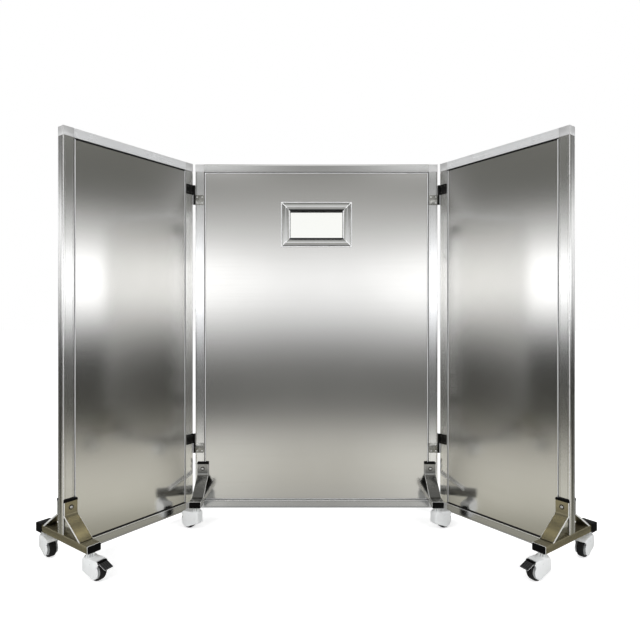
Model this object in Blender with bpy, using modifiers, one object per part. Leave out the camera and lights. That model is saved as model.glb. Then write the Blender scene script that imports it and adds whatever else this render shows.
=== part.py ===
"""Mobile lead barrier: three hinged, lead-lined steel panels on four T-feet with casters.

Lengths are in metres and +Z is up. The side that the wings fold towards faces -Y. Each panel,
foot and caster is built in a frame of its own, an empty, and the frames hang from one empty that
is moved at the end so that the middle of the footprint stands on the origin.
"""

import math
from dataclasses import dataclass

import bmesh
import bpy
from mathutils import Matrix, Vector

# Panels
PANEL_HEIGHT = 1.700
PANEL_THICKNESS = 0.040
CENTRE_WIDTH = 1.200
WING_WIDTH = 0.650
WING_FOLD = math.radians(54.0)
FLOOR_TO_PANEL = 0.040

# Frame channels round each panel
STILE_FACE = 0.044
RAIL_FACE = 0.038
FRAME_WALL = 0.002
FRAME_EDGE_BEVEL = 0.0008

# Casing and lead
CASING_SHEET = 0.0012
LEAD_SHEET = 0.002

# Viewing window, its heights and widths along the panel
TRIM_BELOW_RAIL = 0.149
SIGHT_WIDTH = 0.260
SIGHT_HEIGHT = 0.132
TRIM_FACE = 0.045
TRIM_PROUD = 0.012
TRIM_ROUNDING = 0.009
TRIM_INNER_CHAMFER = 0.005
LINER_WALL = 0.012
GLASS_THICKNESS = 0.010

# Lift-off hinges
HINGE_SETBACK = 0.004
HINGE_PROUD = 0.0045
UPPER_HINGE_BELOW_TOP = 0.153
LOWER_HINGE_ABOVE_BOTTOM = 0.321
LEAF_WIDTH = 0.043
LEAF_HEIGHT = 0.048
LEAF_THICKNESS = 0.003
LEAF_EDGE_BEVEL = 0.0006
KNUCKLE_RADIUS = 0.0055
HINGE_PIN_RADIUS = 0.003
HINGE_PIN_LENGTH = 0.030
SOCKET_CLEARANCE = 0.0003
SOCKET_SPARE_DEPTH = 0.002
SCREW_HEAD_RADIUS = 0.0036
SCREW_HEAD_TIP_RADIUS = 0.0026
SCREW_HEAD_PROUD = 0.0010
SCREW_MARGIN = 0.009

# Foot beam and its straps
BEAM_WIDTH = 0.055
BEAM_HEIGHT = 0.030
BEAM_WALL = 0.002
BEAM_REACH = 0.172
BEAM_UNDERSIDE = 0.101
CORNER_FOOT_INSET = 0.0385
NOTCH_MARGIN = 0.020
STRAP_THICKNESS = 0.005
PAD_THICKNESS = 0.004
STRAP_TOP = 0.268
STRAP_BEND = 0.205
PAD_END_ABOVE_BEND = 0.003
STRAP_FOOT_REACH = 0.119
STRAP_EDGE_BEVEL = 0.0008
WELD_DEPTH = 0.001

# Clamp bolt through the panel and both straps
BOLT_HEIGHT = 0.236
BOLT_RADIUS = 0.004
BOLT_CLEARANCE = 0.0003
BOLT_HEAD_RADIUS = 0.0080
BOLT_HEAD_TIP_RADIUS = 0.0045
BOLT_HEAD_PROUD = 0.004

# Plastic ends of the beam
PLUG_FLANGE = 0.003
PLUG_DEPTH = 0.014
PLUG_EDGE_BEVEL = 0.0008
SLEEVE_WALL = 0.0025
SLEEVE_COVER = 0.042
SLEEVE_EDGE_BEVEL = 0.0012
SLEEVE_THROAT_CLEARANCE = 0.001

# Casters
STEM_INSET = 0.024
STEM_RADIUS = 0.0055
STEM_CLEARANCE = 0.0003
STEM_RISE = 0.010
RING_RADIUS = 0.0165
COLLAR_RADIUS = 0.0235
COLLAR_RISE = 0.002
HOUSING_TOP = 0.081
HOUSING_WIDTH = 0.046
HOUSING_CHEEK = 0.0035
HOUSING_LEAD = 0.024
HOUSING_LEAD_BOTTOM = 0.030
HOUSING_SHOULDER = 0.010
HOUSING_ROOF_END = 0.040
HOUSING_BROW_REACH = 0.060
HOUSING_BROW_HEIGHT = 0.0785
HOUSING_BROW_END_REACH = 0.068
HOUSING_BROW_END_HEIGHT = 0.069
HOUSING_EDGE_BEVEL = 0.002
CASTER_TRAIL = 0.038
CHEEK_RADIUS = 0.028
CHEEK_ARC_START = math.radians(40.0)
CHEEK_ARC_END = math.radians(-130.0)
CHEEK_ARC_STEPS = 8
WELL_CLEARANCE = 0.003
AXLE_RADIUS = 0.004
AXLE_CLEARANCE = 0.0003
AXLE_END_INSET = 0.001

# Wheels
WHEEL_RADIUS = 0.0375
WHEEL_SIDES = 20
TYRE_WIDTH = 0.026
TREAD_WIDTH = 0.018
TYRE_SHOULDER = 0.003
RIM_RADIUS = 0.029
DISC_WIDTH = 0.024
HUB_RADIUS = 0.011

# Brake pedal of the two outer front casters
PEDAL_PIVOT_REACH = 0.064
PEDAL_PIVOT_HEIGHT = 0.0735
PEDAL_PIN_RADIUS = 0.002
PEDAL_PIN_CLEARANCE = 0.0003
PEDAL_HUB_RADIUS = 0.0052
PEDAL_WIDTH = 0.036
PEDAL_ROOT_REACH = 0.0605
PEDAL_ROOT_HEIGHT = 0.0785
PEDAL_LENGTH = 0.047
PEDAL_PLATE = 0.004
PEDAL_SLOPE = math.radians(25.0)
PEDAL_BAY_START = 0.054
PEDAL_BAY_LENGTH = 0.020
PEDAL_BAY_FLOOR = 0.060

# Resting headings of the casters, right-hand side, in their foot's frame
OUTER_FRONT_HEADING = math.radians(-98.0)
OUTER_REAR_HEADING = math.radians(-84.0)
CORNER_HEADING = math.radians(25.0)

# Fits and cuts
GAP = 0.0003
OVERRUN = 0.010
PIN_SIDES = 16
ROUND_SIDES = 20
SCREW_SIDES = 8
SMOOTH_ANGLE = math.radians(40.0)

# Sizes that several pieces share
PANEL_TOP = FLOOR_TO_PANEL + PANEL_HEIGHT
BEAM_TOP = BEAM_UNDERSIDE + BEAM_HEIGHT
AXLE_HEIGHT = WHEEL_RADIUS * math.cos(math.pi / WHEEL_SIDES)
HOUSING_GAP = HOUSING_WIDTH - 2 * HOUSING_CHEEK
OPENING_WIDTH = SIGHT_WIDTH + 2 * LINER_WALL
OPENING_HEIGHT = SIGHT_HEIGHT + 2 * LINER_WALL
WINDOW_HEIGHT = PANEL_TOP - RAIL_FACE - TRIM_BELOW_RAIL - TRIM_FACE - SIGHT_HEIGHT / 2
UPPER_HINGE_HEIGHT = PANEL_TOP - UPPER_HINGE_BELOW_TOP
LOWER_HINGE_HEIGHT = FLOOR_TO_PANEL + LOWER_HINGE_ABOVE_BOTTOM

STEEL = ((0.62, 0.61, 0.58), 0.32, 1.0)
FRAME_METAL = ((0.72, 0.72, 0.71), 0.28, 1.0)
FOOT_STEEL = ((0.44, 0.42, 0.34), 0.30, 1.0)
HINGE_STEEL = ((0.30, 0.30, 0.28), 0.35, 1.0)
LEAD = ((0.22, 0.23, 0.25), 0.60, 1.0)
WHITE_PLASTIC = ((0.86, 0.87, 0.87), 0.35, 0.0)
BLACK_PLASTIC = ((0.02, 0.02, 0.02), 0.45, 0.0)
TYRE_BLACK = ((0.03, 0.03, 0.03), 0.70, 0.0)
LEAD_GLASS = ((0.90, 0.92, 0.86), 0.05, 0.0)

PROFILE_ALONG_Y = Matrix(((0, 0, 1, 0), (1, 0, 0, 0), (0, 1, 0, 0), (0, 0, 0, 1)))
PROFILE_ALONG_X = Matrix.Rotation(math.radians(90.0), 4, "X")


@dataclass
class Panel:
    """One leaf of the screen: its name, its frame and where its edges and front face lie."""

    name: str
    frame: bpy.types.Object
    x_low: float
    x_high: float
    front: float

    @property
    def rear(self):
        """The y of the rear face."""
        return self.front + PANEL_THICKNESS

    @property
    def inside(self):
        """The y span between the walls of the frame channels."""
        return self.front + FRAME_WALL, self.rear - FRAME_WALL

    @property
    def skin(self):
        """The y span of the casing, from its front face to its rear face."""
        return self.front + FRAME_WALL + GAP, self.rear - FRAME_WALL - GAP


def clear_scene():
    """Remove every object of the scene."""
    for old in list(bpy.data.objects):
        bpy.data.objects.remove(old, do_unlink=True)


def new_collection(name):
    """Make a collection and link it to the scene."""
    collection = bpy.data.collections.new(name)
    bpy.context.scene.collection.children.link(collection)
    return collection


def file_under(obj, collection):
    """Move an object to one collection."""
    for holder in list(obj.users_collection):
        holder.objects.unlink(obj)
    collection.objects.link(obj)


def frame_at(name, location, parent=None, turn=0.0):
    """Make an empty that carries the pieces of one sub-assembly."""
    empty = bpy.data.objects.new(name, None)
    empty.location = location
    empty.rotation_euler = (0.0, 0.0, turn)
    empty.parent = parent
    PARTS.objects.link(empty)
    return empty


def block(name, x, y, z, frame):
    """Make a box between two x, two y and two z values of its frame."""
    low = Vector((min(x), min(y), min(z)))
    high = Vector((max(x), max(y), max(z)))
    bpy.ops.mesh.primitive_cube_add(size=1.0, location=(low + high) / 2)
    obj = bpy.context.object
    obj.scale = high - low
    bpy.ops.object.transform_apply(location=False, rotation=False, scale=True)
    obj.name = name
    obj.parent = frame
    return obj


def rod(name, radius, start, end, frame, sides=PIN_SIDES, end_radius=None):
    """Make a closed cylinder, or a cone where end_radius is given, from start to end."""
    start, end = Vector(start), Vector(end)
    bpy.ops.mesh.primitive_cone_add(
        vertices=sides,
        radius1=radius,
        radius2=radius if end_radius is None else end_radius,
        depth=(end - start).length,
        end_fill_type="NGON",
    )
    obj = bpy.context.object
    obj.data.transform((end - start).to_track_quat("Z", "Y").to_matrix().to_4x4())
    obj.location = (start + end) / 2
    obj.name = name
    obj.parent = frame
    shade_round(obj)
    return obj


def shade_round(obj):
    """Shade an object smooth, except across its sharp edges."""
    obj.data.shade_smooth()
    obj.data.set_sharp_from_angle(angle=SMOOTH_ANGLE)


def side_shape(name, points, width, turn, location, frame):
    """Extrude a flat outline to a width, centred, as a closed mesh turned into its frame."""
    curve = bpy.data.curves.new(name, "CURVE")
    curve.dimensions = "2D"
    curve.fill_mode = "BOTH"
    curve.extrude = width / 2
    spline = curve.splines.new("POLY")
    spline.points.add(len(points) - 1)
    for point, place in zip(spline.points, points):
        point.co = (place[0], place[1], 0.0, 1.0)
    spline.use_cyclic_u = True
    flat = bpy.data.objects.new(name + "_outline", curve)
    PARTS.objects.link(flat)
    seen = flat.evaluated_get(bpy.context.evaluated_depsgraph_get())
    mesh = bpy.data.meshes.new_from_object(seen)
    bpy.data.objects.remove(flat, do_unlink=True)
    work = bmesh.new()
    work.from_mesh(mesh)
    bmesh.ops.remove_doubles(work, verts=work.verts, dist=GAP / 10)
    bmesh.ops.transform(work, matrix=turn, verts=work.verts)
    work.to_mesh(mesh)
    work.free()
    obj = bpy.data.objects.new(name, mesh)
    obj.location = location
    obj.parent = frame
    PARTS.objects.link(obj)
    return obj


def turned(name, profile, location, frame, sides):
    """Turn a closed profile of (radius, height) points about the vertical, full circle."""
    mesh = bpy.data.meshes.new(name)
    work = bmesh.new()
    points = [work.verts.new((radius, 0.0, height)) for radius, height in profile]
    for first, second in zip(points, points[1:] + points[:1]):
        work.edges.new((first, second))
    work.to_mesh(mesh)
    work.free()
    obj = bpy.data.objects.new(name, mesh)
    obj.location = location
    obj.parent = frame
    PARTS.objects.link(obj)
    screw = obj.modifiers.new("turn", "SCREW")
    screw.steps = sides
    screw.render_steps = sides
    screw.use_merge_vertices = True
    screw.merge_threshold = GAP / 10
    screw.use_smooth_shade = True
    return obj


def soften(obj, width, segments=1):
    """Break the sharp edges of an object by a small bevel."""
    bevel = obj.modifiers.new("edges", "BEVEL")
    bevel.width = width
    bevel.segments = segments
    bevel.limit_method = "ANGLE"
    bevel.use_clamp_overlap = True
    return obj


def combine(target, operation, *tools):
    """Cut tools from a target or join them to it, and file the tools with the cutters."""
    for tool in tools:
        boolean = target.modifiers.new(tool.name, "BOOLEAN")
        boolean.operation = operation
        boolean.solver = "EXACT"
        boolean.object = tool
        tool.hide_render = True
        tool.display_type = "WIRE"
        file_under(tool, CUTTERS)
    return target


def cut(target, *tools):
    """Cut each tool out of the target."""
    return combine(target, "DIFFERENCE", *tools)


def join(target, *tools):
    """Join each tool to the target as one body."""
    return combine(target, "UNION", *tools)


def dress(obj, finish):
    """File a finished piece with the parts and give it a material of its own."""
    colour, roughness, metallic = finish
    material = bpy.data.materials.new(obj.name)
    material.use_nodes = True
    shader = material.node_tree.nodes["Principled BSDF"]
    shader.inputs["Base Color"].default_value = (*colour, 1.0)
    shader.inputs["Roughness"].default_value = roughness
    shader.inputs["Metallic"].default_value = metallic
    obj.data.materials.clear()
    obj.data.materials.append(material)
    file_under(obj, PARTS)
    return obj


def make_stile(name, panel, x_edge, inward, bottom, cutters):
    """Make an upright channel with closed ends, open towards the middle of its panel."""
    stile = block(name, (x_edge, x_edge + inward * STILE_FACE), (panel.front, panel.rear),
                  (bottom, PANEL_TOP), panel.frame)
    soften(stile, FRAME_EDGE_BEVEL)
    channel = block(name + "_channel",
                    (x_edge + inward * FRAME_WALL, x_edge + inward * (STILE_FACE + OVERRUN)),
                    panel.inside, (bottom + FRAME_WALL, PANEL_TOP - FRAME_WALL), panel.frame)
    cut(stile, channel, *cutters)
    return dress(stile, FRAME_METAL)


def make_rail(name, panel, x_ends, z_edge, inward):
    """Make a level channel between two stiles, open towards the middle of its panel."""
    rail = block(name, x_ends, (panel.front, panel.rear), (z_edge, z_edge + inward * RAIL_FACE),
                 panel.frame)
    soften(rail, FRAME_EDGE_BEVEL)
    channel = block(name + "_channel", (min(x_ends) - OVERRUN, max(x_ends) + OVERRUN), panel.inside,
                    (z_edge + inward * FRAME_WALL, z_edge + inward * (RAIL_FACE + OVERRUN)),
                    panel.frame)
    cut(rail, channel)
    return dress(rail, FRAME_METAL)


def edge_notch(rail, panel, x_notch, x_stile, side, height):
    """Close a wing's notch with an upright and a ledge that belong to its bottom rail."""
    wall = (x_notch - side * FRAME_WALL, x_notch)
    upright_wall = block(rail.name + "_notch_wall", wall, (panel.front, panel.rear),
                         (FLOOR_TO_PANEL, height + FRAME_WALL), panel.frame)
    ledge = block(rail.name + "_notch_ledge", (wall[0], x_stile), (panel.front, panel.rear),
                  (height, height + FRAME_WALL), panel.frame)
    join(rail, upright_wall, ledge)


def make_filling(panel, cutters):
    """Make a panel's steel casing, folded round its lower edge, and the lead sheet inside."""
    reach = FRAME_WALL + GAP
    x_ends = (panel.x_low + reach, panel.x_high - reach)
    bottom, top = FLOOR_TO_PANEL + reach, PANEL_TOP - reach
    front, rear = panel.skin
    casing = block(panel.name + "_casing", x_ends, (front, rear), (bottom, top), panel.frame)
    hollow = block(panel.name + "_casing_hollow", (x_ends[0] - OVERRUN, x_ends[1] + OVERRUN),
                   (front + CASING_SHEET, rear - CASING_SHEET),
                   (bottom + CASING_SHEET, top + OVERRUN), panel.frame)
    cut(casing, hollow, *cutters)
    dress(casing, STEEL)
    lead_front = front + CASING_SHEET + GAP
    lead = block(panel.name + "_lead_sheet", x_ends, (lead_front, lead_front + LEAD_SHEET),
                 (bottom + CASING_SHEET + GAP, top), panel.frame)
    cut(lead, *cutters)
    dress(lead, LEAD)


def bolt_hole(name, panel, x):
    """Make the cutter for the clamp bolt's hole through a panel."""
    return rod(name, BOLT_RADIUS + BOLT_CLEARANCE, (x, panel.front - OVERRUN, BOLT_HEIGHT),
               (x, panel.rear + OVERRUN, BOLT_HEIGHT), panel.frame)


def make_centre_panel(panel):
    """Make the wide panel, with slots where the corner feet pass through it."""
    window = block("window_opening", (-OPENING_WIDTH / 2, OPENING_WIDTH / 2),
                   (panel.front - OVERRUN, panel.rear + OVERRUN),
                   (WINDOW_HEIGHT - OPENING_HEIGHT / 2, WINDOW_HEIGHT + OPENING_HEIGHT / 2),
                   panel.frame)
    cutters = [window]
    for name, side, x_edge in (("left", -1, panel.x_low), ("right", 1, panel.x_high)):
        x_foot = x_edge - side * CORNER_FOOT_INSET
        slot = block("centre_" + name + "_beam_slot",
                     (x_foot - BEAM_WIDTH / 2 - GAP, x_foot + BEAM_WIDTH / 2 + GAP),
                     (panel.front - OVERRUN, panel.rear + OVERRUN),
                     (BEAM_UNDERSIDE - GAP, BEAM_TOP + GAP), panel.frame)
        hole = bolt_hole("centre_" + name + "_bolt_hole", panel, x_foot)
        make_stile("centre_stile_" + name, panel, x_edge, -side, FLOOR_TO_PANEL, (slot, hole))
        cutters += [slot, hole]
    rail_ends = (panel.x_low + STILE_FACE + GAP, panel.x_high - STILE_FACE - GAP)
    make_rail("centre_top_rail", panel, rail_ends, PANEL_TOP, -1)
    make_rail("centre_bottom_rail", panel, rail_ends, FLOOR_TO_PANEL, 1)
    make_filling(panel, cutters)


def make_wing_panel(panel, side):
    """Make a wing, whose outer stile stands on the beam of its foot in a notched corner."""
    x_hinge = side * HINGE_SETBACK
    x_end = side * (HINGE_SETBACK + WING_WIDTH)
    x_foot = x_end - side * BEAM_WIDTH / 2
    x_notch = x_end - side * (BEAM_WIDTH + NOTCH_MARGIN)
    end_bottom = BEAM_TOP + GAP
    hole = bolt_hole(panel.name + "_bolt_hole", panel, x_foot)
    notch = block(panel.name + "_notch",
                  (x_notch - side * (FRAME_WALL + GAP), x_end + side * OVERRUN),
                  (panel.front - OVERRUN, panel.rear + OVERRUN),
                  (FLOOR_TO_PANEL - OVERRUN, end_bottom + FRAME_WALL + GAP), panel.frame)
    make_stile(panel.name + "_hinge_stile", panel, x_hinge, side, FLOOR_TO_PANEL, ())
    make_stile(panel.name + "_end_stile", panel, x_end, -side, end_bottom, (hole,))
    x_start = x_hinge + side * (STILE_FACE + GAP)
    x_stile = x_end - side * (STILE_FACE + GAP)
    make_rail(panel.name + "_top_rail", panel, (x_start, x_stile), PANEL_TOP, -1)
    bottom_rail = make_rail(panel.name + "_bottom_rail", panel, (x_start, x_notch),
                            FLOOR_TO_PANEL, 1)
    edge_notch(bottom_rail, panel, x_notch, x_stile, side, end_bottom)
    make_filling(panel, (notch, hole))


def window_block(name, half_width, half_height, y, frame):
    """Make a box centred on the window, between two y values."""
    return block(name, (-half_width, half_width), y,
                 (WINDOW_HEIGHT - half_height, WINDOW_HEIGHT + half_height), frame)


def bevel_face_rim(obj, facing, width, segments):
    """Round the rim of the face of a box that looks along -Y or +Y."""
    work = bmesh.new()
    work.from_mesh(obj.data)
    rim = [edge for edge in work.edges
           if all(vertex.co.y * facing > 0.0 for vertex in edge.verts)]
    bmesh.ops.bevel(work, geom=rim, offset=width, offset_type="OFFSET", segments=segments,
                    profile=0.5, affect="EDGES", clamp_overlap=True)
    work.to_mesh(obj.data)
    work.free()


def make_window(panel):
    """Make the two trims, each with a liner that reaches the glass, and the lead glass."""
    middle = (panel.front + panel.rear) / 2
    for name, facing, skin in (("front", -1, panel.skin[0]), ("rear", 1, panel.skin[1])):
        back = skin + facing * GAP
        face = back + facing * TRIM_PROUD
        glass_side = middle + facing * (GLASS_THICKNESS / 2 + GAP)
        trim = window_block("window_trim_" + name, SIGHT_WIDTH / 2 + TRIM_FACE,
                            SIGHT_HEIGHT / 2 + TRIM_FACE, (back, face), panel.frame)
        bevel_face_rim(trim, facing, TRIM_ROUNDING, 3)
        liner = window_block("window_liner_" + name, OPENING_WIDTH / 2 - GAP,
                             OPENING_HEIGHT / 2 - GAP, (glass_side, (back + face) / 2), panel.frame)
        sight = window_block("window_sight_" + name, SIGHT_WIDTH / 2, SIGHT_HEIGHT / 2,
                             (middle - facing * OVERRUN, face + facing * OVERRUN), panel.frame)
        flare = flared_sight("window_flare_" + name, face, facing, panel.frame)
        join(trim, liner)
        cut(trim, sight, flare)
        dress(trim, FRAME_METAL)
    glass = window_block("lead_glass", OPENING_WIDTH / 2 - GAP, OPENING_HEIGHT / 2 - GAP,
                         (middle - GLASS_THICKNESS / 2, middle + GLASS_THICKNESS / 2), panel.frame)
    dress(glass, LEAD_GLASS)


def flared_sight(name, face, facing, frame):
    """Make the cutter that chamfers a trim's inner edge: a box that widens outwards."""
    depth = (face - facing * TRIM_INNER_CHAMFER, face + facing * TRIM_INNER_CHAMFER)
    tool = window_block(name, SIGHT_WIDTH / 2, SIGHT_HEIGHT / 2, depth, frame)
    outer = [vertex for vertex in tool.data.vertices if vertex.co.y * facing > 0.0]
    for vertex in outer:
        vertex.co.x += math.copysign(2 * TRIM_INNER_CHAMFER, vertex.co.x)
        vertex.co.z += math.copysign(2 * TRIM_INNER_CHAMFER, vertex.co.z)
    return tool


def make_leaf(name, frame, x_axis, y_axis, toward, z_span):
    """Make a hinge leaf: a plate on the stile, its knuckle round the axis and four screws."""
    y_plate = y_axis + HINGE_PROUD - GAP - LEAF_THICKNESS
    x_tip = x_axis + toward * (HINGE_SETBACK + LEAF_WIDTH)
    leaf = block(name, (x_axis, x_tip), (y_plate, y_plate + LEAF_THICKNESS), z_span, frame)
    soften(leaf, LEAF_EDGE_BEVEL)
    knuckle = rod(name + "_knuckle", KNUCKLE_RADIUS, (x_axis, y_axis, z_span[0]),
                  (x_axis, y_axis, z_span[1]), frame)
    join(leaf, knuckle)
    x_screws = (x_axis + toward * (HINGE_SETBACK + SCREW_MARGIN), x_tip - toward * SCREW_MARGIN)
    z_screws = (z_span[0] + SCREW_MARGIN, z_span[1] - SCREW_MARGIN)
    for column, x in enumerate(x_screws):
        for row, z in enumerate(z_screws):
            head = rod("%s_screw_%d%d" % (name, column, row), SCREW_HEAD_RADIUS,
                       (x, y_plate + LEAF_THICKNESS / 2, z), (x, y_plate - SCREW_HEAD_PROUD, z),
                       frame, sides=SCREW_SIDES, end_radius=SCREW_HEAD_TIP_RADIUS)
            join(leaf, head)
    return leaf


def make_hinge(name, side, height, wing_frame):
    """Make one lift-off hinge: the centre's leaf has the pin, the wing's leaf drops over it."""
    x_axis = side * (CENTRE_WIDTH / 2 + HINGE_SETBACK)
    low = (height - LEAF_HEIGHT, height - GAP / 2)
    high = (height + GAP / 2, height + LEAF_HEIGHT)
    pin_leaf = make_leaf(name + "_pin_leaf", BARRIER, x_axis, -HINGE_PROUD, -side, low)
    pin = rod(name + "_pin", HINGE_PIN_RADIUS, (x_axis, -HINGE_PROUD, height - LEAF_HEIGHT / 2),
              (x_axis, -HINGE_PROUD, height + HINGE_PIN_LENGTH), BARRIER)
    join(pin_leaf, pin)
    dress(pin_leaf, HINGE_STEEL)
    wing_leaf = make_leaf(name + "_wing_leaf", wing_frame, 0.0, 0.0, side, high)
    socket = rod(name + "_socket", HINGE_PIN_RADIUS + SOCKET_CLEARANCE,
                 (0.0, 0.0, height - OVERRUN),
                 (0.0, 0.0, height + HINGE_PIN_LENGTH + SOCKET_SPARE_DEPTH), wing_frame)
    cut(wing_leaf, socket)
    dress(wing_leaf, HINGE_STEEL)


def strap_outline(origin, facing):
    """Outline of a strap in y and z: tab with its pad, bend, and slope down to the beam."""
    back = GAP
    inner = back + PAD_THICKNESS
    outer = inner + STRAP_THICKNESS
    lean = math.atan2(STRAP_FOOT_REACH - outer, STRAP_BEND - BEAM_TOP)
    inner_bend = STRAP_BEND - STRAP_THICKNESS * math.tan(lean / 2)
    seat = BEAM_TOP - WELD_DEPTH
    reach = [
        (back, STRAP_TOP),
        (back, STRAP_BEND + PAD_END_ABOVE_BEND),
        (inner, STRAP_BEND + PAD_END_ABOVE_BEND),
        (inner, inner_bend),
        (inner + (inner_bend - seat) * math.tan(lean), seat),
        (outer + (STRAP_BEND - seat) * math.tan(lean), seat),
        (outer, STRAP_BEND),
        (outer, STRAP_TOP),
    ]
    return [(origin + facing * distance, height) for distance, height in reach]


def make_foot(name, panel, x_foot):
    """Make one T-foot: a flat tube beam, two straps welded to it and the clamp bolt."""
    frame = frame_at(name + "_frame", (x_foot, panel.front, 0.0), panel.frame)
    half = BEAM_WIDTH / 2
    front_end, rear_end = -BEAM_REACH, PANEL_THICKNESS + BEAM_REACH
    foot = block(name, (-half, half), (front_end, rear_end), (BEAM_UNDERSIDE, BEAM_TOP), frame)
    soften(foot, STRAP_EDGE_BEVEL)
    tab = GAP + PAD_THICKNESS + STRAP_THICKNESS
    straps = []
    for place, origin, facing in (("front", 0.0, -1), ("rear", PANEL_THICKNESS, 1)):
        strap = side_shape("%s_%s_strap" % (name, place), strap_outline(origin, facing),
                           BEAM_WIDTH - 2 * STRAP_EDGE_BEVEL, PROFILE_ALONG_Y, (0.0, 0.0, 0.0),
                           frame)
        strap.data.shade_flat()
        straps.append(strap)
        surface = origin + facing * tab
        straps.append(rod("%s_%s_bolt_head" % (name, place), BOLT_HEAD_RADIUS,
                          (0.0, surface - facing * STRAP_THICKNESS / 2, BOLT_HEIGHT),
                          (0.0, surface + facing * BOLT_HEAD_PROUD, BOLT_HEIGHT), frame,
                          end_radius=BOLT_HEAD_TIP_RADIUS))
    shank = rod(name + "_bolt_shank", BOLT_RADIUS, (0.0, -tab + WELD_DEPTH, BOLT_HEIGHT),
                (0.0, PANEL_THICKNESS + tab - WELD_DEPTH, BOLT_HEIGHT), frame)
    join(foot, *straps, shank)
    bore = block(name + "_tube_bore", (-half + BEAM_WALL, half - BEAM_WALL),
                 (front_end - OVERRUN, rear_end + OVERRUN),
                 (BEAM_UNDERSIDE + BEAM_WALL, BEAM_TOP - BEAM_WALL), frame)
    cut(foot, bore)
    for place, y in (("front", front_end + STEM_INSET), ("rear", rear_end - STEM_INSET)):
        cut(foot, rod("%s_%s_stem_hole" % (name, place), STEM_RADIUS + STEM_CLEARANCE,
                      (0.0, y, BEAM_UNDERSIDE - OVERRUN),
                      (0.0, y, BEAM_UNDERSIDE + BEAM_HEIGHT / 2), frame))
    dress(foot, FOOT_STEEL)
    return frame


def make_plug(name, frame):
    """Make the black plug that closes the front end of a beam."""
    half = BEAM_WIDTH / 2
    mouth = -BEAM_REACH - GAP
    plug = block(name, (-half, half), (mouth - PLUG_FLANGE, mouth), (BEAM_UNDERSIDE, BEAM_TOP),
                 frame)
    soften(plug, PLUG_EDGE_BEVEL)
    inset = BEAM_WALL + GAP
    tongue = block(name + "_tongue", (-half + inset, half - inset),
                   (mouth - PLUG_FLANGE / 2, mouth + PLUG_DEPTH),
                   (BEAM_UNDERSIDE + inset, BEAM_TOP - inset), frame)
    join(plug, tongue)
    dress(plug, BLACK_PLASTIC)


def make_sleeve(name, frame):
    """Make the black sleeve on the rear end of a beam, open below round the caster's ring."""
    rear_end = PANEL_THICKNESS + BEAM_REACH
    stem_y = rear_end - STEM_INSET
    half = BEAM_WIDTH / 2 + GAP
    start = rear_end - SLEEVE_COVER
    sleeve = block(name, (-half - SLEEVE_WALL, half + SLEEVE_WALL),
                   (start, rear_end + GAP + SLEEVE_WALL),
                   (BEAM_UNDERSIDE - GAP - SLEEVE_WALL, BEAM_TOP + GAP + SLEEVE_WALL), frame)
    soften(sleeve, SLEEVE_EDGE_BEVEL, 2)
    mouth = block(name + "_mouth", (-half, half), (start - OVERRUN, rear_end + GAP),
                  (BEAM_UNDERSIDE - GAP, BEAM_TOP + GAP), frame)
    room = RING_RADIUS + SLEEVE_THROAT_CLEARANCE
    depth = (BEAM_UNDERSIDE - SLEEVE_WALL - OVERRUN, BEAM_UNDERSIDE)
    throat = block(name + "_throat", (-room, room), (start - OVERRUN, stem_y), depth, frame)
    round_end = rod(name + "_throat_end", room, (0.0, stem_y, depth[0]), (0.0, stem_y, depth[1]),
                    frame, sides=ROUND_SIDES)
    cut(sleeve, mouth, throat, round_end)
    dress(sleeve, BLACK_PLASTIC)


def housing_outline():
    """Side outline of a caster housing, with the wheel's axle at the middle of the round."""
    points = [
        (-HOUSING_LEAD, HOUSING_LEAD_BOTTOM),
        (-HOUSING_LEAD, HOUSING_TOP - HOUSING_SHOULDER),
        (-HOUSING_LEAD + HOUSING_SHOULDER, HOUSING_TOP),
        (HOUSING_ROOF_END, HOUSING_TOP),
        (HOUSING_BROW_REACH, HOUSING_BROW_HEIGHT),
        (HOUSING_BROW_END_REACH, HOUSING_BROW_END_HEIGHT),
    ]
    for step in range(CHEEK_ARC_STEPS + 1):
        angle = CHEEK_ARC_START + (CHEEK_ARC_END - CHEEK_ARC_START) * step / CHEEK_ARC_STEPS
        points.append((CASTER_TRAIL + CHEEK_RADIUS * math.cos(angle),
                       AXLE_HEIGHT + CHEEK_RADIUS * math.sin(angle)))
    return points


def cross_rod(name, radius, reach, height, width, frame, sides=PIN_SIDES):
    """Make a rod that lies across a caster, centred, at a reach and a height."""
    return rod(name, radius, (reach, -width / 2, height), (reach, width / 2, height), frame, sides)


def upright(name, radius, low, high, frame, sides=ROUND_SIDES):
    """Make a rod round the swivel axis of a caster between two heights."""
    return rod(name, radius, (0.0, 0.0, low), (0.0, 0.0, high), frame, sides)


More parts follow.
